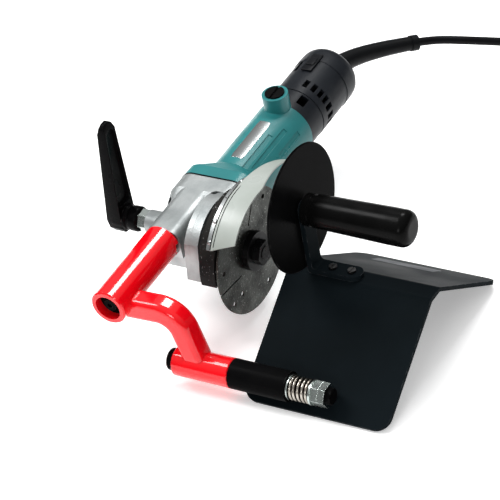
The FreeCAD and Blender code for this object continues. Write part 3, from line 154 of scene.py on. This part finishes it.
def worn_edges(nodes, links, place, radius, scale):
    """Where an edge is near and a patchy noise is high, from 0 to 1."""
    dot = nodes.new("ShaderNodeVectorMath")
    dot.operation = "DOT_PRODUCT"
    links.new(rounded_normal(nodes, radius), dot.inputs[0])
    links.new(nodes.new("ShaderNodeNewGeometry").outputs["Normal"], dot.inputs[1])
    near_edge = spread(nodes, links, dot.outputs["Value"], EDGE_FLAT, EDGE_SHARP)
    chips = spread(nodes, links, noise(nodes, links, place, scale, CHIP_DETAIL), CHIP_LOW, CHIP_HIGH)
    both = nodes.new("ShaderNodeMath")
    both.operation = "MULTIPLY"
    links.new(near_edge, both.inputs[0])
    links.new(chips, both.inputs[1])
    return both.outputs[0]


def finish(
    name,
    colour,
    rough,
    metallic=0.0,
    other=None,
    patches=35.0,
    grain=1800.0,
    grain_depth=0.00003,
    wave=60.0,
    wave_depth=0.0,
    rough_spread=0.08,
    stretch=None,
    coat=0.0,
    worn=None,
    specks=None,
    gloss=0.5,
):
    """A finish with colour patches, fine grain, slow waviness, and wear on the edges.

    worn is (colour, edge radius, noise scale), and specks is (colour, noise scale, level).
    """
    material, nodes, links, shader = new_material(name)
    place = nodes.new("ShaderNodeTexCoord").outputs["Object"]
    if other is None:
        other = tuple(c * PATCH_DARKENING for c in colour)
    slow = noise(nodes, links, place, patches, PATCH_DETAIL)
    base = mixed(nodes, links, spread(nodes, links, slow, PATCH_LOW, PATCH_HIGH), colour, other)
    if specks:
        speck_colour, speck_scale, level = specks
        dots = noise(nodes, links, place, speck_scale, SPECK_DETAIL)
        dots = spread(nodes, links, dots, level, level + SPECK_SOFTNESS)
        base = mixed(nodes, links, dots, base, speck_colour)
    if worn:
        worn_colour, worn_radius, worn_scale = worn
        base = mixed(nodes, links, worn_edges(nodes, links, place, worn_radius, worn_scale), base, worn_colour)
    links.new(base, shader.inputs["Base Color"])
    smoothest = max(rough - rough_spread, SMALLEST_ROUGH)
    rough_value = spread(nodes, links, slow, ROUGH_LOW, ROUGH_HIGH, smoothest, rough + rough_spread)
    links.new(rough_value, shader.inputs["Roughness"])
    shader.inputs["Metallic"].default_value = metallic
    shader.inputs["Specular IOR Level"].default_value = gloss
    if coat:
        shader.inputs["Coat Weight"].default_value = coat
        shader.inputs["Coat Roughness"].default_value = COAT_ROUGH
    fine = noise(nodes, links, place, grain, GRAIN_DETAIL, stretch)
    normal = bumped(nodes, links, fine, grain_depth, rounded_normal(nodes, ROUND_EDGE))
    if wave_depth:
        normal = bumped(nodes, links, noise(nodes, links, place, wave, WAVE_DETAIL), wave_depth, normal)
    links.new(normal, shader.inputs["Normal"])
    return material


BARE = (0.33, 0.32, 0.31)
looks = {
    "saddle_black": dict(
        colour=(0.004, 0.0062, 0.0074), other=(0.006, 0.009, 0.011), rough=0.45, gloss=0.008, patches=12,
        grain=900, wave=14, wave_depth=0.0001, worn=((0.07, 0.075, 0.08), 0.0009, 120)),
    "black_steel": dict(
        colour=(0.0026, 0.0026, 0.0028), other=(0.0036, 0.0036, 0.0038), rough=0.34, gloss=0.008,
        grain=1500, worn=((0.07, 0.07, 0.07), 0.0008, 150)),
    "black_plastic": dict(
        colour=(0.002, 0.002, 0.002), other=(0.003, 0.003, 0.003), rough=0.24, gloss=0.05,
        grain=2500, grain_depth=0.00002),
    "black_cover": dict(
        colour=(0.007, 0.0085, 0.0115), other=(0.011, 0.013, 0.0165), rough=0.36, gloss=0.14,
        grain=3000, grain_depth=0.00004),
    "lever_black": dict(
        colour=(0.002, 0.002, 0.0022), other=(0.003, 0.003, 0.0033), rough=0.24, gloss=0.03,
        grain=1300, grain_depth=0.00005, worn=((0.1, 0.1, 0.1), 0.0008, 160)),
    "teal_plastic": dict(
        colour=(0.02, 0.175, 0.18), other=(0.014, 0.14, 0.145), rough=0.34, gloss=0.3,
        grain=2400, grain_depth=0.00002),
    "red_paint": dict(
        colour=(0.84, 0.002, 0.008), other=(0.76, 0.001, 0.006), rough=0.2, gloss=0.12, coat=0.75,
        grain=700, grain_depth=0.00002, wave=90, wave_depth=0.00015),
    "guard_white": dict(
        colour=(0.36, 0.39, 0.365), other=(0.28, 0.31, 0.28), rough=0.34, gloss=0.3, patches=20,
        grain=700, grain_depth=0.00004, wave=40, wave_depth=0.0002, worn=(BARE, 0.0008, 150)),
    "guard_black": dict(
        colour=(0.004, 0.004, 0.004), other=(0.015, 0.014, 0.012), rough=0.6, gloss=0.1,
        grain=500, grain_depth=0.0003, specks=((0.2, 0.2, 0.2), 420, 0.66)),
    "band_steel": dict(colour=(0.42, 0.44, 0.44), rough=0.28, metallic=1.0, grain=900, stretch=(1, 0.2, 0.2)),
    "cast_alloy": dict(
        colour=(0.42, 0.44, 0.44), other=(0.24, 0.26, 0.26), rough=0.5, rough_spread=0.1, metallic=0.9,
        patches=26, grain=650, grain_depth=0.00018, wave=120, wave_depth=0.0003),
    "zinc_steel": dict(
        colour=(0.6, 0.66, 0.63), other=(0.42, 0.47, 0.45), rough=0.24, metallic=1.0, grain=1200),
    "spring_steel": dict(
        colour=(0.5, 0.47, 0.42), other=(0.3, 0.27, 0.23), rough=0.22, metallic=1.0, patches=140, grain=1500),
    "dark_screw": dict(
        colour=(0.05, 0.05, 0.05), other=(0.03, 0.03, 0.03), rough=0.36, metallic=1.0, grain=1500),
    "bronze": dict(colour=(0.42, 0.25, 0.1), rough=0.4, metallic=1.0, grain=2500, grain_depth=0.00008),
    "grey_plastic": dict(colour=(0.08, 0.084, 0.09), rough=0.6, gloss=0.1, grain=2500),
    "switch_plastic": dict(
        colour=(0.004, 0.0046, 0.006), other=(0.006, 0.0066, 0.008), rough=0.36, gloss=0.1, grain=2500),
    "bearing_steel": dict(colour=(0.5, 0.5, 0.51), rough=0.2, metallic=1.0, grain=1500),
    "gear_steel": dict(colour=(0.34, 0.34, 0.35), rough=0.33, metallic=1.0, grain=1500),
    "core_steel": dict(
        colour=(0.2, 0.2, 0.21), rough=0.45, metallic=0.9, grain=2600, stretch=(0.1, 6, 0.1),
        grain_depth=0.0001),
    "copper": dict(colour=(0.6, 0.25, 0.13), rough=0.3, metallic=1.0),
    "carbon": dict(colour=(0.02, 0.02, 0.02), rough=0.6, grain=2500, grain_depth=0.0001),
    "dark_flange": dict(
        colour=(0.01, 0.01, 0.011), other=(0.02, 0.02, 0.02), rough=0.3, metallic=0.9, gloss=0.1, grain=900),
    "blade_steel": dict(
        colour=(0.07, 0.074, 0.067), other=(0.02, 0.021, 0.019), rough=0.32, metallic=0.85, gloss=0.15,
        patches=45, grain=420, grain_depth=0.0003, specks=((0.3, 0.31, 0.29), 600, 0.66)),
    "boot_rubber": dict(colour=(0.003, 0.0035, 0.0042), rough=0.4, gloss=0.1, grain=2500, grain_depth=0.00006),
    "cord_rubber": dict(
        colour=(0.0028, 0.0028, 0.0034), other=(0.004, 0.004, 0.005), rough=0.36, gloss=0.08,
        grain=2200, grain_depth=0.00005),
    "plug_rubber": dict(colour=(0.01, 0.01, 0.011), rough=0.5, grain=2500, grain_depth=0.00006),
    "brass_pins": dict(colour=(0.6, 0.47, 0.22), rough=0.25, metallic=1.0, grain=2500),
}
materials = {name: finish(name, **look) for name, look in looks.items()}

# The blade is brushed round its axle
blade_tree = materials["blade_steel"].node_tree
blade_shader = blade_tree.nodes["Principled BSDF"]
turned = blade_tree.nodes.new("ShaderNodeTangent")
turned.direction_type = "RADIAL"
turned.axis = "X"
blade_tree.links.new(turned.outputs[0], blade_shader.inputs["Tangent"])
blade_shader.inputs["Anisotropic"].default_value = BLADE_BRUSHING

# Every CAD node gets the finish of its slot
slot_of = {s["node"]: s["material_slot"] for s in frame["record"]["subparts"]}
for node, slot in slot_of.items():
    mesh = bpy.data.objects[node].data
    mesh.materials.clear()
    mesh.materials.append(materials[slot])


def link(obj, body, slot, nodes=()):
    bpy.context.scene.collection.objects.link(obj)
    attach(obj, body)
    if nodes:
        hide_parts(*nodes)
    obj.data.materials.append(materials[slot])
    return obj


# Makers of closed shapes
BEVEL_ANGLE = math.radians(25)
BEVEL_SEGMENTS = 3
BEVEL_PROFILE = 0.5


def lathe_points(profile, place, axis="X", sides=40):
    """Vertices and faces of a turned shape along X or Y of the grinder; place is where its axis lies."""
    points, faces = [], []
    for along, radius in profile:
        for k in range(sides):
            a = 2 * math.pi * k / sides
            first, second = place[0] + radius * math.cos(a), place[1] + radius * math.sin(a)
            points.append(hung(along, first, second) if axis == "X" else hung(first, along, second))
    for row in range(len(profile) - 1):
        for k in range(sides):
            low, high = row * sides, (row + 1) * sides
            faces.append((low + k, low + (k + 1) % sides, high + (k + 1) % sides, high + k))
    faces.append(tuple(range(sides))[::-1])
    faces.append(tuple(range((len(profile) - 1) * sides, len(profile) * sides)))
    return points, faces


def solid(name, parts, body, slot, nodes=(), smooth=30, bevel=0.0):
    """One object from closed shells (points, faces), with rounded edges and smooth shading."""
    mesh = bpy.data.meshes.new(name)
    points, faces = [], []
    for some, more in parts:
        faces += [tuple(i + len(points) for i in face) for face in more]
        points += some
    mesh.from_pydata([tuple(p) for p in points], [], faces)
    work = bmesh.new()
    work.from_mesh(mesh)
    bmesh.ops.recalc_face_normals(work, faces=work.faces)
    if bevel:
        sharp = [e for e in work.edges if e.is_manifold and e.calc_face_angle() > BEVEL_ANGLE]
        bmesh.ops.bevel(work, geom=sharp, offset=bevel, offset_type="OFFSET", segments=BEVEL_SEGMENTS,
                        profile=BEVEL_PROFILE, affect="EDGES", clamp_overlap=True)
    work.to_mesh(mesh)
    work.free()
    mesh.set_sharp_from_angle(angle=math.radians(smooth))
    for face in mesh.polygons:
        face.use_smooth = True
    return link(bpy.data.objects.new(name, mesh), body, slot, nodes)


def between(z, table):
    """The value at z in a table of (z, value), straight between its rows."""
    if z <= table[0][0]:
        return table[0][1]
    for (a, p), (b, q) in zip(table, table[1:]):
        if z <= b:
            return p + (q - p) * (z - a) / (b - a)
    return table[-1][1]


# Clamp lever: a tapering arm with a sunk face towards the housing, and its hub
LEVER_Y = -16.5
LEVER_HUB_Z = 26
LEVER_EDGE = 0.0013
WEB_DEPTH = 3.2
WEB_TAPER = 0.93
lever_rim = (
    (-9, 13.6), (-12.2, 19), (-12.8, 28), (-8.8, 130), (-7.2, 136), (-3.2, 139.4), (3.2, 139.4),
    (7.2, 136), (8.8, 130), (12.8, 28), (12.2, 19), (9, 13.6), (0, 12))
lever_web = (
    (-6.5, 43), (-9.4, 45.5), (-10, 50), (-6.9, 123), (-5.8, 128), (-2.4, 131), (2.4, 131),
    (5.8, 128), (6.9, 123), (10, 50), (9.4, 45.5), (6.5, 43), (0, 42.5))
lever_outer = ((12, -135), (20, -139.6), (34, -140.4), (130, -127.4), (139.4, -124.6))
lever_inner = ((12, -123), (40, -123.8), (130, -118), (139.4, -120.4))
hub_profile = (
    (-139.4, 6), (-138, 10.6), (-134.5, 12.9), (-121, 12.9), (-119.8, 11.6), (-117.6, 11.6),
    (-116.4, 12.6), (-109.5, 12.6), (-107.4, 11.2), (-107.4, 6.2), (-137.2, 6.2), (-137.2, 0.5))


def lever_arm(rim, web, outer, inner, depth):
    """The lever's arm: rim points (y, z) on its outer and inner face, and a sunk web on the inner face.

    Both outlines run up one side and down the other, and end with the point at the foot's middle.
    """
    n = len(rim)
    points = [hung(between(z, outer), LEVER_Y + y, z) for y, z in rim]
    points += [hung(between(z, inner), LEVER_Y + y, z) for y, z in rim]
    points += [hung(between(z, inner), LEVER_Y + y, z) for y, z in web]
    points += [hung(between(z, inner) - depth, LEVER_Y + y * WEB_TAPER, z) for y, z in web]
    faces = []
    for k in range(n):
        m = (k + 1) % n
        for base in (0, n, 2 * n):
            faces.append((base + k, base + m, base + n + m, base + n + k))
    foot = n - 1
    for base in (0, 3 * n):
        for k in range(foot // 2 - 1):
            faces.append((base + k, base + k + 1, base + foot - 2 - k, base + foot - 1 - k))
        faces.append((base, base + foot - 1, base + foot))
    return points, faces


lever_parts = (lever_arm(lever_rim, lever_web, lever_outer, lever_inner, WEB_DEPTH),
               lathe_points(hub_profile, (LEVER_Y, LEVER_HUB_Z)))
solid("lever_handle", lever_parts, "lever", "lever_black", ("clamp_lever",), bevel=LEVER_EDGE)

# Thin plates laid on a surface, sizes in metres
DECAL_LIFT = 0.00025
DECAL_SUNK = 0.0002
DECAL_CORNER = 0.0009
DECAL_DROP = 0.03


def decal(name, node, centre, along, across, out, size, body, slot, steps):
    """A thin plate laid on a node's surface: a grid with rounded corners, dropped along -out."""
    base = bpy.data.objects[node]
    to_base = base.matrix_world.inverted()
    top, low = [], []
    for i in range(steps + 1):
        for j in range(steps + 1):
            u = (i / steps - 0.5) * size[0]
            v = (j / steps - 0.5) * size[1]
            if i in (0, steps) and j in (0, steps):
                u -= math.copysign(DECAL_CORNER, u)
                v -= math.copysign(DECAL_CORNER, v)
            start = centre + along * u + across * v + out * DECAL_DROP
            _, place, normal, _ = base.ray_cast(to_base @ start, -out)
            top.append(place + normal * DECAL_LIFT)
            low.append(place - normal * DECAL_SUNK)
    count = len(top)
    row = steps + 1
    faces = []
    for i in range(steps):
        for j in range(steps):
            a = i * row + j
            faces.append((a, a + 1, a + row + 1, a + row))
            faces.append((count + a, count + a + row, count + a + row + 1, count + a + 1))
    edge = list(range(steps)) + [i * row + steps for i in range(steps)]
    edge += [steps * row + j for j in range(steps, 0, -1)] + [i * row for i in range(steps, 0, -1)]
    for a, b in zip(edge, edge[1:] + edge[:1]):
        faces.append((a, count + a, count + b, b))
    return solid(name, ((top + low, faces),), body, slot, smooth=40)


# Bare plates in the places of the lettering
LABEL_ANGLE = math.radians(88)
LABEL_RADIUS = 31
LABEL_Y = 120
label_x, label_z = math.cos(LABEL_ANGLE), math.sin(LABEL_ANGLE)
label_centre = hung(MOTOR_X + LABEL_RADIUS * label_x, LABEL_Y, LABEL_RADIUS * label_z)
decal("maker_plate_bare", "motor_housing", label_centre, along=HUNG_TURN @ Vector((0, 1, 0)),
      across=HUNG_TURN @ Vector((label_z, 0, -label_x)), out=HUNG_TURN @ Vector((label_x, 0, label_z)),
      size=(0.06, 0.0135), body="head", slot="band_steel", steps=12)

FLAP_SLOPE = math.radians(33)
FLAP_PLATE_X = 0.1145
FLAP_PLATE_DOWN = 0.1015
flap_down = Vector((0, math.cos(FLAP_SLOPE), -math.sin(FLAP_SLOPE)))
flap_out = Vector((0, math.sin(FLAP_SLOPE), math.cos(FLAP_SLOPE)))
fold = Vector((0, 9.185, -1.195)) * MM
flap_centre = fold + Vector((FLAP_PLATE_X, 0, 0)) + flap_down * FLAP_PLATE_DOWN
decal("flap_plate_bare", "saddle_plate", flap_centre, along=Vector((1, 0, 0)), across=flap_down, out=flap_out,
      size=(0.068, 0.022), body="base", slot="grey_plastic", steps=8)


def recoat(node, body, slot):
    """A copy of a CAD node in another finish."""
    copy = bpy.data.objects[node].copy()
    copy.data = bpy.data.objects[node].data.copy()
    copy.name = node + "_coated"
    copy.data.materials.clear()
    copy.parent = None
    copy.matrix_world = bpy.data.objects[node].matrix_world
    return link(copy, body, slot, (node,))


recoat("blade_nut", "spindle", "dark_flange")
recoat("spindle", "spindle", "dark_flange")
recoat("hand_guard", "base", "black_steel")


# Dark seam of the gear housing, and a black plate painted as the shade inside a recess
def soft_square_ring(y_low, y_high, half, corner, wall, steps=8):
    """A closed ring in the shape of the housing's collar."""
    loop = []
    for quarter in range(4):
        for k in range(steps + 1):
            a = math.pi / 2 * (quarter + k / steps)
            sx = 1 if quarter in (0, 3) else -1
            sz = 1 if quarter in (0, 1) else -1
            loop.append((sx * (half - corner), sz * (half - corner), a))
    n = len(loop)
    points = []
    for y, radius in ((y_low, corner), (y_high, corner), (y_high, corner - wall), (y_low, corner - wall)):
        for cx, cz, a in loop:
            points.append(hung(MOTOR_X + cx + radius * math.cos(a), y, cz + radius * math.sin(a)))
    faces = []
    for row in range(4):
        for k in range(n):
            m, up = (k + 1) % n, (row + 1) % 4
            faces.append((row * n + k, row * n + m, up * n + m, up * n + k))
    return points, faces


seam_ring = soft_square_ring(y_low=46.3, y_high=48, half=39.35, corner=17.35, wall=1.6)
solid("housing_seam", (seam_ring,), "head", "black_plastic")
# Painted shade: a thin black plate on the housing's top stands in for the dark inside of a recess
decal("housing_recess", "gear_housing", hung(-42.2, 21, 42), along=HUNG_TURN @ Vector((0, 0.97, -0.25)),
      across=HUNG_TURN @ Vector((1, 0, 0)), out=HUNG_TURN @ Vector((0, 0.25, 0.97)),
      size=(0.0125, 0.0052), body="head", slot="black_plastic", steps=8)

# Seam lines on the guard's rim
SEAM_OUTER = 71.75


def guard_arc(x_low, x_high, inner, outer, first, last, steps=60):
    """A closed strip round the spindle, between two radii and two angles."""
    points, faces = [], []
    for k in range(steps + 1):
        a = math.radians(first + (last - first) * k / steps)
        for x, radius in ((x_low, inner), (x_high, inner), (x_high, outer), (x_low, outer)):
            points.append(hung(x, radius * math.cos(a), radius * math.sin(a)))
    for k in range(steps):
        for c in range(4):
            d = (c + 1) % 4
            faces.append((4 * k + c, 4 * k + d, 4 * k + 4 + d, 4 * k + 4 + c))
    faces.append((0, 1, 2, 3))
    faces.append(tuple(4 * steps + c for c in range(4)))
    return points, faces


seams = (guard_arc(x_low=-4.5, x_high=-3.6, inner=69.5, outer=SEAM_OUTER, first=52, last=142.5),
         guard_arc(x_low=-1.4, x_high=-0.8, inner=70.5, outer=SEAM_OUTER, first=60, last=140))
solid("guard_seams", seams, "head", "guard_black")

# Rear cover's rounded end, as (y, radius) about the motor's axis
dome = (
    (258, 31.9), (272, 31.9), (277.5, 31.1), (281.5, 29), (284.6, 25.4), (286.4, 20), (287, 13),
    (287, 10.5), (270, 10.5), (258, 20))
solid("cover_end", (lathe_points(dome, (MOTOR_X, 0), "Y", 64),), "head", "black_cover", smooth=50)


def tube(name, rows, resolution, sides, caps):
    """A smooth tube along rows of (place, radius) in metres."""
    curve = bpy.data.curves.new(name, "CURVE")
    curve.dimensions = "3D"
    line = curve.splines.new("NURBS")
    line.points.add(len(rows) - 1)
    for point, (place, radius) in zip(line.points, rows):
        point.co = (*place, 1)
        point.radius = radius
    line.order_u = 3
    line.use_endpoint_u = True
    curve.resolution_u = resolution
    curve.bevel_depth = 1
    curve.bevel_resolution = sides
    curve.use_fill_caps = caps
    return bpy.data.objects.new(name, curve)


# Boot as one smooth taper, as (x, y, z, radius) on the grinder
boot_places = (
    (-62, 276, 0, 10.8), (-61.4, 290, -0.8, 10.4), (-58.5, 306, -3, 9.9), (-51, 327, -8, 9.2),
    (-40, 347, -13.4, 8.5), (-29, 363.5, -18.2, 8), (-20, 376, -22, 7.6))
boot_rows = [(hung(x, y, z), radius * MM) for x, y, z, radius in boot_places]
link(tube("boot_taper", boot_rows, resolution=8, sides=8, caps=True), "head", "boot_rubber", ("cord_boot",))


def bar(low, high):
    """The corners and faces of a plain block between two corners."""
    points = [hung(x, y, z) for x in (low[0], high[0]) for y in (low[1], high[1]) for z in (low[2], high[2])]
    return points, [(0, 1, 3, 2), (4, 6, 7, 5), (0, 4, 5, 1), (2, 3, 7, 6), (0, 2, 6, 4), (1, 5, 7, 3)]


# Slide switch: a low cap with a raised middle
CAP_EDGE = 0.0008
slide_parts = (bar((-68, 238, 31.5), (-56, 266, 33.6)), bar((-66.5, 246, 33.6), (-57.5, 258, 34.8)))
solid("slide_cap", slide_parts, "switch", "switch_plastic", ("switch_slider",), bevel=CAP_EDGE)

# Cord: one smooth line from the boot's collar along the floor and through its put-away coil
CORD_RADIUS = 0.0045
CORD_LEAD = 0.02
exit_point = Vector((-15.48, 390.53, -4.83)) * MM
boot_along = (HUNG_TURN @ Vector((18, 25, -8))).normalized()
run_places = (
    (25, 425.9, -17), (72, 460.6, -33), (108, 486, -51), (137, 502, -65), (162, 510, -71),
    (188, 511.4, -71), (206, 511.2, -71))
route = [exit_point, exit_point + boot_along * CORD_LEAD]
route += [Vector(p) * MM for p in run_places]

# The coil winds inward, climbs by one cord, and winds outward again to its end, radii in mm
COIL_FIRST_RADIUS = 70
COIL_INNER_RADIUS = 36
COIL_LAST_RADIUS = 84
COIL_TURNS_IN = 3.5
COIL_TURNS_OUT = 1.75
COIL_CLIMB_FROM = 3
COIL_CLIMB_TURNS = 0.5
COIL_CLIMB = 0.0102
STEPS_PER_TURN = 16
coil_centre = Vector((0.215, 0.441, -0.071))
bulge = 1 / math.cos(math.pi / STEPS_PER_TURN)
for step in range(1, int((COIL_TURNS_IN + COIL_TURNS_OUT) * STEPS_PER_TURN) + 1):
    turns = step / STEPS_PER_TURN
    inward = min(turns, COIL_TURNS_IN) / COIL_TURNS_IN
    outward = max(turns - COIL_TURNS_IN, 0) / COIL_TURNS_OUT
    radius = COIL_FIRST_RADIUS - (COIL_FIRST_RADIUS - COIL_INNER_RADIUS) * inward
    radius = (radius + (COIL_LAST_RADIUS - COIL_INNER_RADIUS) * outward) * MM * bulge
    climb = min(max(turns - COIL_CLIMB_FROM, 0) / COIL_CLIMB_TURNS, 1)
    height = COIL_CLIMB * (1 - math.cos(math.pi * climb)) / 2
    angle = math.pi / 2 - 2 * math.pi * turns
    route.append(coil_centre + Vector((radius * math.cos(angle), radius * math.sin(angle), height)))
coil_end = coil_centre + Vector((COIL_LAST_RADIUS * MM, 0, COIL_CLIMB))
route.append(coil_end + Vector((0.0005, -0.009, 0)))
cord_rows = [(place, CORD_RADIUS) for place in route]
cord_line = link(tube("cord_line", cord_rows, resolution=6, sides=5, caps=False), "head", "cord_rubber",
                 ("cord", "cord_coil"))

# Floor and light
FLOOR_HALF = 8
FLOOR_Z = -0.0762
FLOOR_GLOW = 0.35
floor_corners = [(FLOOR_HALF * x, FLOOR_HALF * y, FLOOR_Z) for x, y in ((-1, -1), (1, -1), (1, 1), (-1, 1))]
floor_mesh = bpy.data.meshes.new("floor")
floor_mesh.from_pydata(floor_corners, [], [(0, 1, 2, 3)])
floor = bpy.data.objects.new("floor", floor_mesh)
bpy.context.scene.collection.objects.link(floor)
floor_material, _, _, floor_shader = new_material("floor_pale")
floor_shader.inputs["Base Color"].default_value = (0.93, 0.93, 0.93, 1)
floor_shader.inputs["Emission Color"].default_value = (1, 1, 1, 1)
floor_shader.inputs["Emission Strength"].default_value = FLOOR_GLOW
floor_shader.inputs["Roughness"].default_value = 0.6
floor_mesh.materials.append(floor_material)


def area_light(name, place, aim, size, power):
    data = bpy.data.lights.new(name, "AREA")
    data.shape = "RECTANGLE"
    data.size, data.size_y = size
    data.energy = power
    light = bpy.data.objects.new(name, data)
    bpy.context.scene.collection.objects.link(light)
    light.location = place
    light.rotation_euler = (Vector(aim) - Vector(place)).to_track_quat("-Z", "Y").to_euler()


area_light("key", place=(-1.3, -0.3, 1.9), aim=(0, 0.05, 0), size=(0.8, 1.2), power=42)
area_light("front", place=(0.5, -2.2, 0.9), aim=(0.05, 0, 0), size=(0.5, 0.5), power=12)
area_light("back", place=(-0.1, 1.08, 1.75), aim=(0, 0, 0), size=(0.8, 0.36), power=23)

# A sky that grows brighter towards the top
SKY_LOW, SKY_HIGH = 0.1, 0.95
SKY_DARKEST, SKY_BRIGHTEST = 0.1, 0.8
world = bpy.data.worlds.new("studio")
bpy.context.scene.world = world
world.use_nodes = True
sky, sky_links = world.node_tree.nodes, world.node_tree.links
upward = sky.new("ShaderNodeSeparateXYZ")
sky_links.new(sky.new("ShaderNodeTexCoord").outputs["Generated"], upward.inputs[0])
shade = spread(sky, sky_links, upward.outputs["Z"], SKY_LOW, SKY_HIGH, SKY_DARKEST, SKY_BRIGHTEST)
sky_links.new(shade, sky["Background"].inputs[1])
sky["Background"].inputs[0].default_value = (1, 1, 1, 1)

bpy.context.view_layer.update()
